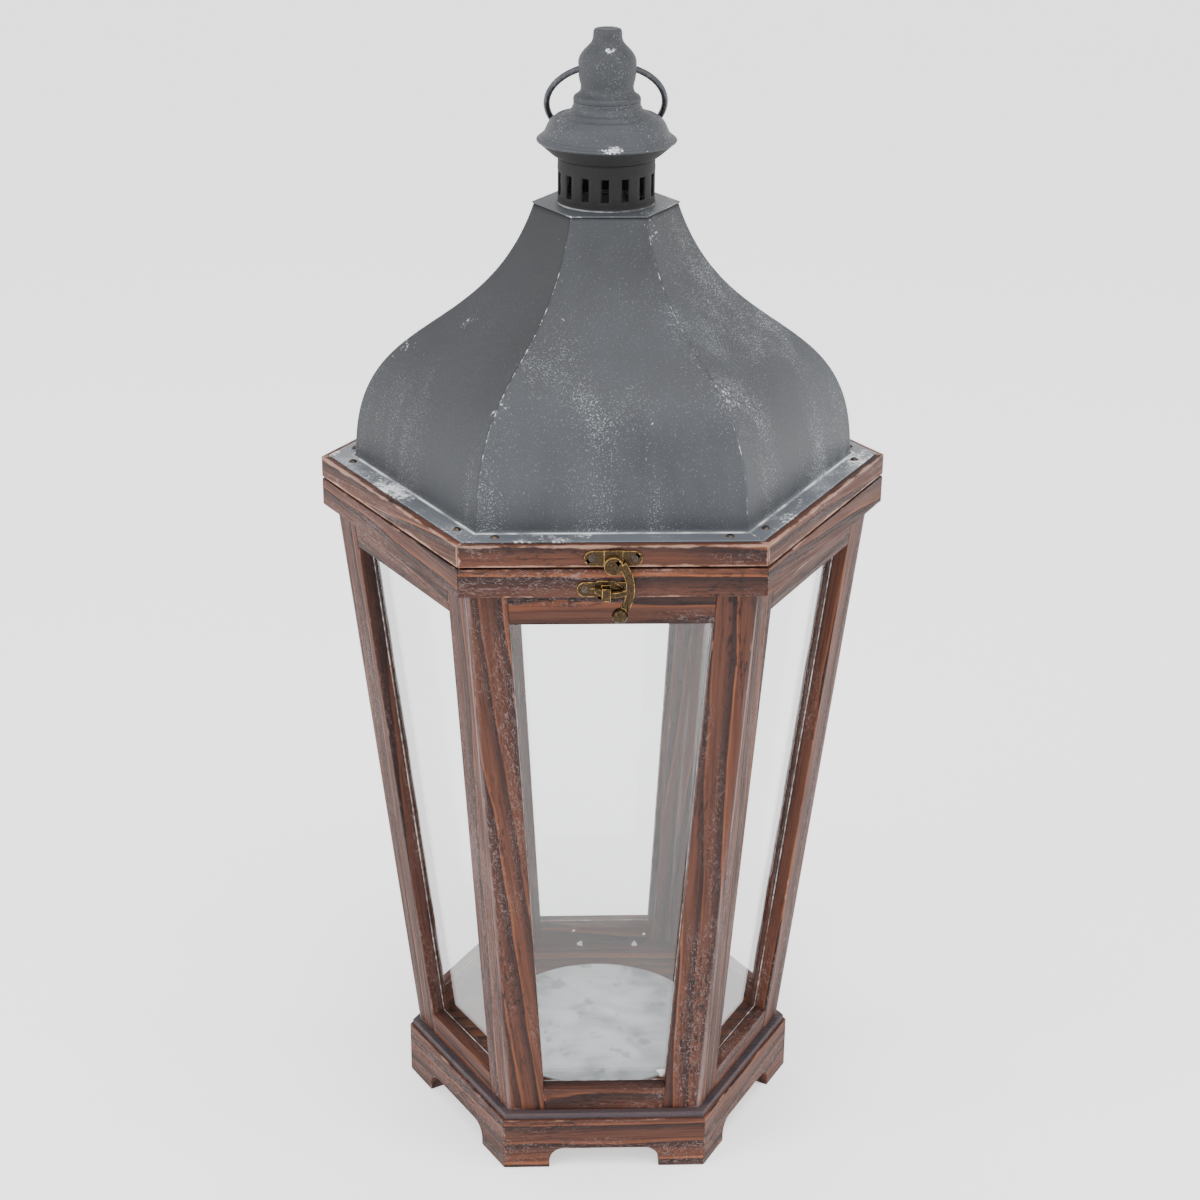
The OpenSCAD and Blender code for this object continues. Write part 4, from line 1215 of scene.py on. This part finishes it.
class LANTERN_OT_glass(bpy.types.Operator):
    """Give the six panes clear glass, and run a thin bead of glue round each one"""
    bl_idname = "lantern.glass"
    bl_label = "Glass and glue"

    def execute(self, context):
        for side in SIDES:
            frame["nodes"][f"glass_pane_{side}"].data.materials[0] = MATERIALS["glass"]
            self.bead(side)
        self.drops()
        return {"FINISHED"}

    def bead(self, side):
        """A thin uneven rod laid along the window's edge, on the front of the pane: points on circles
        whose radius waves along the outline."""
        lap, foot_lap, steps, round_steps = 3.6 * MM, 4 * MM, 240, 8
        corners = coordinates(frame["nodes"][f"glass_pane_{side}"].data)
        along, out, up = side_axes(side)
        lean_out = out * math.cos(LEAN) - up * math.sin(LEAN)
        lean_up = out * math.sin(LEAN) + up * math.cos(LEAN)
        face = (corners @ lean_out).max()
        across, height = corners @ along, corners @ lean_up
        foot, head = height.min(), height.max()
        halves = [np.abs(across[np.abs(height - level) < 1 * MM]).max() for level in (foot, head)]
        low, high = foot + foot_lap, head - lap
        wide = np.interp([low, high], [foot, head], halves) - lap
        outline = np.array([[-wide[0], low], [wide[0], low], [wide[1], high], [-wide[1], high],
                            [-wide[0], low]])
        t = np.linspace(0, 4, steps + 1)[:-1]
        path = np.stack([np.interp(t, range(5), outline[:, k]) for k in (0, 1)], axis=1)
        inward = -(path - [0, (low + high) / 2]) * [1, 0.02]
        inward[np.abs(path[:, 1] - low) < 1e-6] = [0, 1]
        inward[np.abs(path[:, 1] - high) < 1e-6] = [0, -1]
        inward /= np.linalg.norm(inward, axis=1)[:, None]
        radius = (0.17 + 0.08 * np.sin(7.3 * t + side) * np.sin(23.1 * t)
                  + 0.05 * np.sin(51 * t + side))[:, None] * MM
        section = np.linspace(0, 2 * math.pi, round_steps, endpoint=False)
        flat = path[:, None, :] + inward[:, None, :] * (radius * np.cos(section))[..., None]
        deep = face + 0.1 * MM + radius * np.sin(section)
        points = flat[..., :1] * along + flat[..., 1:] * lean_up + deep[..., None] * lean_out
        mesh = make_mesh(f"glue_bead_{side}", points, quads(steps, round_steps, True, True))
        place(f"glue_bead_{side}", mesh, MATERIALS["seal"], "base", "clear_glass", [])

    def drops(self):
        """Small drops of dried glue, each given by its side and its distances along, out and up: an
        ellipsoid, flatter outwards, whose radius waves with the angle."""
        rows, columns, flatness = 10, 18, 0.5
        u, v = np.meshgrid(np.linspace(0, math.pi, rows),
                           np.linspace(0, 2 * math.pi, columns, endpoint=False), indexing="ij")
        points, faces = [], []
        for number, (side, across, distance, height, size) in enumerate(GLUE_DROPS):
            along, out, up = side_axes(side)
            reach = size * np.sin(u) * (1 + 0.25 * np.sin(3 * v + number) + 0.15 * np.sin(5 * v))
            drop = ((reach * np.cos(v) + across)[..., None] * along
                    + (reach * np.sin(v) + height)[..., None] * up
                    + (distance + flatness * size * np.cos(u))[..., None] * out)
            points.append(drop.reshape(-1, 3))
            faces.append(quads(rows, columns, False, True) + rows * columns * number)
        mesh = make_mesh("glue_drops", np.concatenate(points), np.concatenate(faces))
        place("glue_drops", mesh, MATERIALS["glue"], "base", "clear_glass", [])


# ---- All materials, and the stage ----

class LANTERN_OT_materials(bpy.types.Operator):
    """Make the node groups and the materials"""
    bl_idname = "lantern.materials"
    bl_label = "Materials"

    def execute(self, context):
        wood, metal, stage = (getattr(context.scene, name) for name in SETTINGS)
        GROUPS.update(figure=wood_figure_group(), patches=patches_group(), specks=speckle_group(),
                      scratches=scratches_group(), edge=worn_edge_group())
        MATERIALS.update(
            wood=stained_wood(wood), charcoal=charcoal_sheet(metal), zinc=galvanised(metal),
            glass=clear_glass(), brass=antique_brass(metal),
            glue=dried_glue("White Glue", srgb(214, 214, 212), srgb(248, 248, 246)),
            seal=dried_glue("Clear Sealant", srgb(96, 84, 80), srgb(196, 188, 184)),
            wire=dark_metal("Dark Wire", metal.wire, metal.wire_rub, 0.6, 0.38),
            screw=dark_metal("Bronzed Screw", metal.screw, metal.screw_rub, 0.7, 0.3),
            floor=pale_floor(stage))
        return {"FINISHED"}


class LANTERN_OT_stage(bpy.types.Operator):
    """Set up the floor, the soft lights and the camera"""
    bl_idname = "lantern.stage"
    bl_label = "Floor, lights and camera"

    def execute(self, context):
        stage = context.scene.lantern_stage
        self.floor(context)
        self.lights(context, stage)
        self.camera(context, stage)
        return {"FINISHED"}

    def floor(self, context):
        """A flat round floor that curves up all round: past its flat middle its height is a fifth of
        the square of the distance beyond."""
        flat, end, around = 2.5, 6, 96
        reach = np.concatenate([[0.02, 1.0, 2.0], np.linspace(flat, end, 24)])[:, None]
        turn = np.linspace(0, 2 * math.pi, around, endpoint=False)
        points = np.stack([reach * np.cos(turn), reach * np.sin(turn),
                           0.2 * np.maximum(reach - flat, 0) ** 2 + 0 * turn], axis=-1)
        points[0] = 0
        mesh = make_mesh("floor", points, quads(len(reach), around, False, True), turn_out=False)
        floor = bpy.data.objects.new("floor", mesh)
        context.scene.collection.objects.link(floor)
        mesh.materials.append(MATERIALS["floor"])
        if mesh.polygons[0].normal.z < 0:
            mesh.flip_normals()
        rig.stage(floor)

    def lights(self, context, stage):
        world = bpy.data.worlds.new("Studio")
        world.use_nodes = True
        world.node_tree.nodes["Background"].inputs["Color"].default_value = (1, 1, 1, 1)
        world.node_tree.nodes["Background"].inputs["Strength"].default_value = stage.sky
        context.scene.world = world
        aim = Vector((0, 0, 0.32))
        for name, place_at, power, size in (("Key", (-1.5, -0.8, 1.3), stage.key, 1.0),
                                            ("Fill", (1.5, -0.7, 1.1), stage.key * 0.5, 1.0),
                                            ("Top", (0.2, -0.5, 2.1), stage.key * 0.9, 1.2)):
            data = bpy.data.lights.new(name, "AREA")
            data.energy = power
            data.shape = "DISK"
            data.size = size
            lamp = bpy.data.objects.new(name, data)
            context.scene.collection.objects.link(lamp)
            lamp.location = place_at
            lamp.rotation_euler = (aim - lamp.location).to_track_quat("-Z", "Y").to_euler()

    def camera(self, context, stage):
        """Looks down at the front from a little to the left of it, with a very slight roll."""
        eye, film_width = (-0.0439, -1.1307, 0.7893), 36
        turn, dip, roll = math.radians(2.155), math.radians(23.212), math.radians(0.504)
        level = math.cos(dip)
        ahead = Vector((math.sin(turn) * level, math.cos(turn) * level, -math.sin(dip)))
        right = ahead.cross(Vector((0, 0, 1))).normalized()
        up = right.cross(ahead)
        x = right * math.cos(roll) + up * math.sin(roll)
        y = -right * math.sin(roll) + up * math.cos(roll)
        data = bpy.data.cameras.new("Camera")
        data.lens = stage.focal
        data.sensor_width = film_width
        camera = bpy.data.objects.new("Camera", data)
        context.scene.collection.objects.link(camera)
        spin = Matrix((x, y, -ahead)).transposed().to_4x4()
        camera.matrix_world = Matrix.Translation(eye) @ spin
        context.scene.camera = camera


class LANTERN_PT_panel(bpy.types.Panel):
    """Lists the steps that build the lantern"""
    bl_label = "Candle lantern"
    bl_idname = "LANTERN_PT_panel"
    bl_space_type = "VIEW_3D"
    bl_region_type = "UI"
    bl_category = "Lantern"

    def draw(self, context):
        for step in STEPS:
            self.layout.operator(step.bl_idname)
        for group in SETTINGS:
            settings = getattr(context.scene, group)
            for key in settings.bl_rna.properties.keys():
                if key not in ("rna_type", "name"):
                    self.layout.prop(settings, key)


STEPS = (LANTERN_OT_materials, LANTERN_OT_boards, LANTERN_OT_roof, LANTERN_OT_chimney,
         LANTERN_OT_ring, LANTERN_OT_plate, LANTERN_OT_latch, LANTERN_OT_screws,
         LANTERN_OT_glass, LANTERN_OT_stage)
SETTINGS = {"lantern_wood": LanternWood, "lantern_metal": LanternMetal,
            "lantern_stage": LanternStage}


def register():
    for kind in (*SETTINGS.values(), *STEPS, LANTERN_PT_panel):
        bpy.utils.register_class(kind)
    for name, kind in SETTINGS.items():
        setattr(bpy.types.Scene, name, bpy.props.PointerProperty(type=kind))


def unregister():
    for name in SETTINGS:
        delattr(bpy.types.Scene, name)
    for kind in reversed((*SETTINGS.values(), *STEPS, LANTERN_PT_panel)):
        bpy.utils.unregister_class(kind)


def main():
    register()
    for step in STEPS:
        group, name = step.bl_idname.split(".")
        getattr(getattr(bpy.ops, group), name)()
    sizes = {"cad": [list(corner) for corner in CAD_BOX],
             "visual": [list(corner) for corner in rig.bounds()]}
    with open("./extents.json", "w") as out:
        json.dump(sizes, out)


if __name__ == "__main__":
    main()
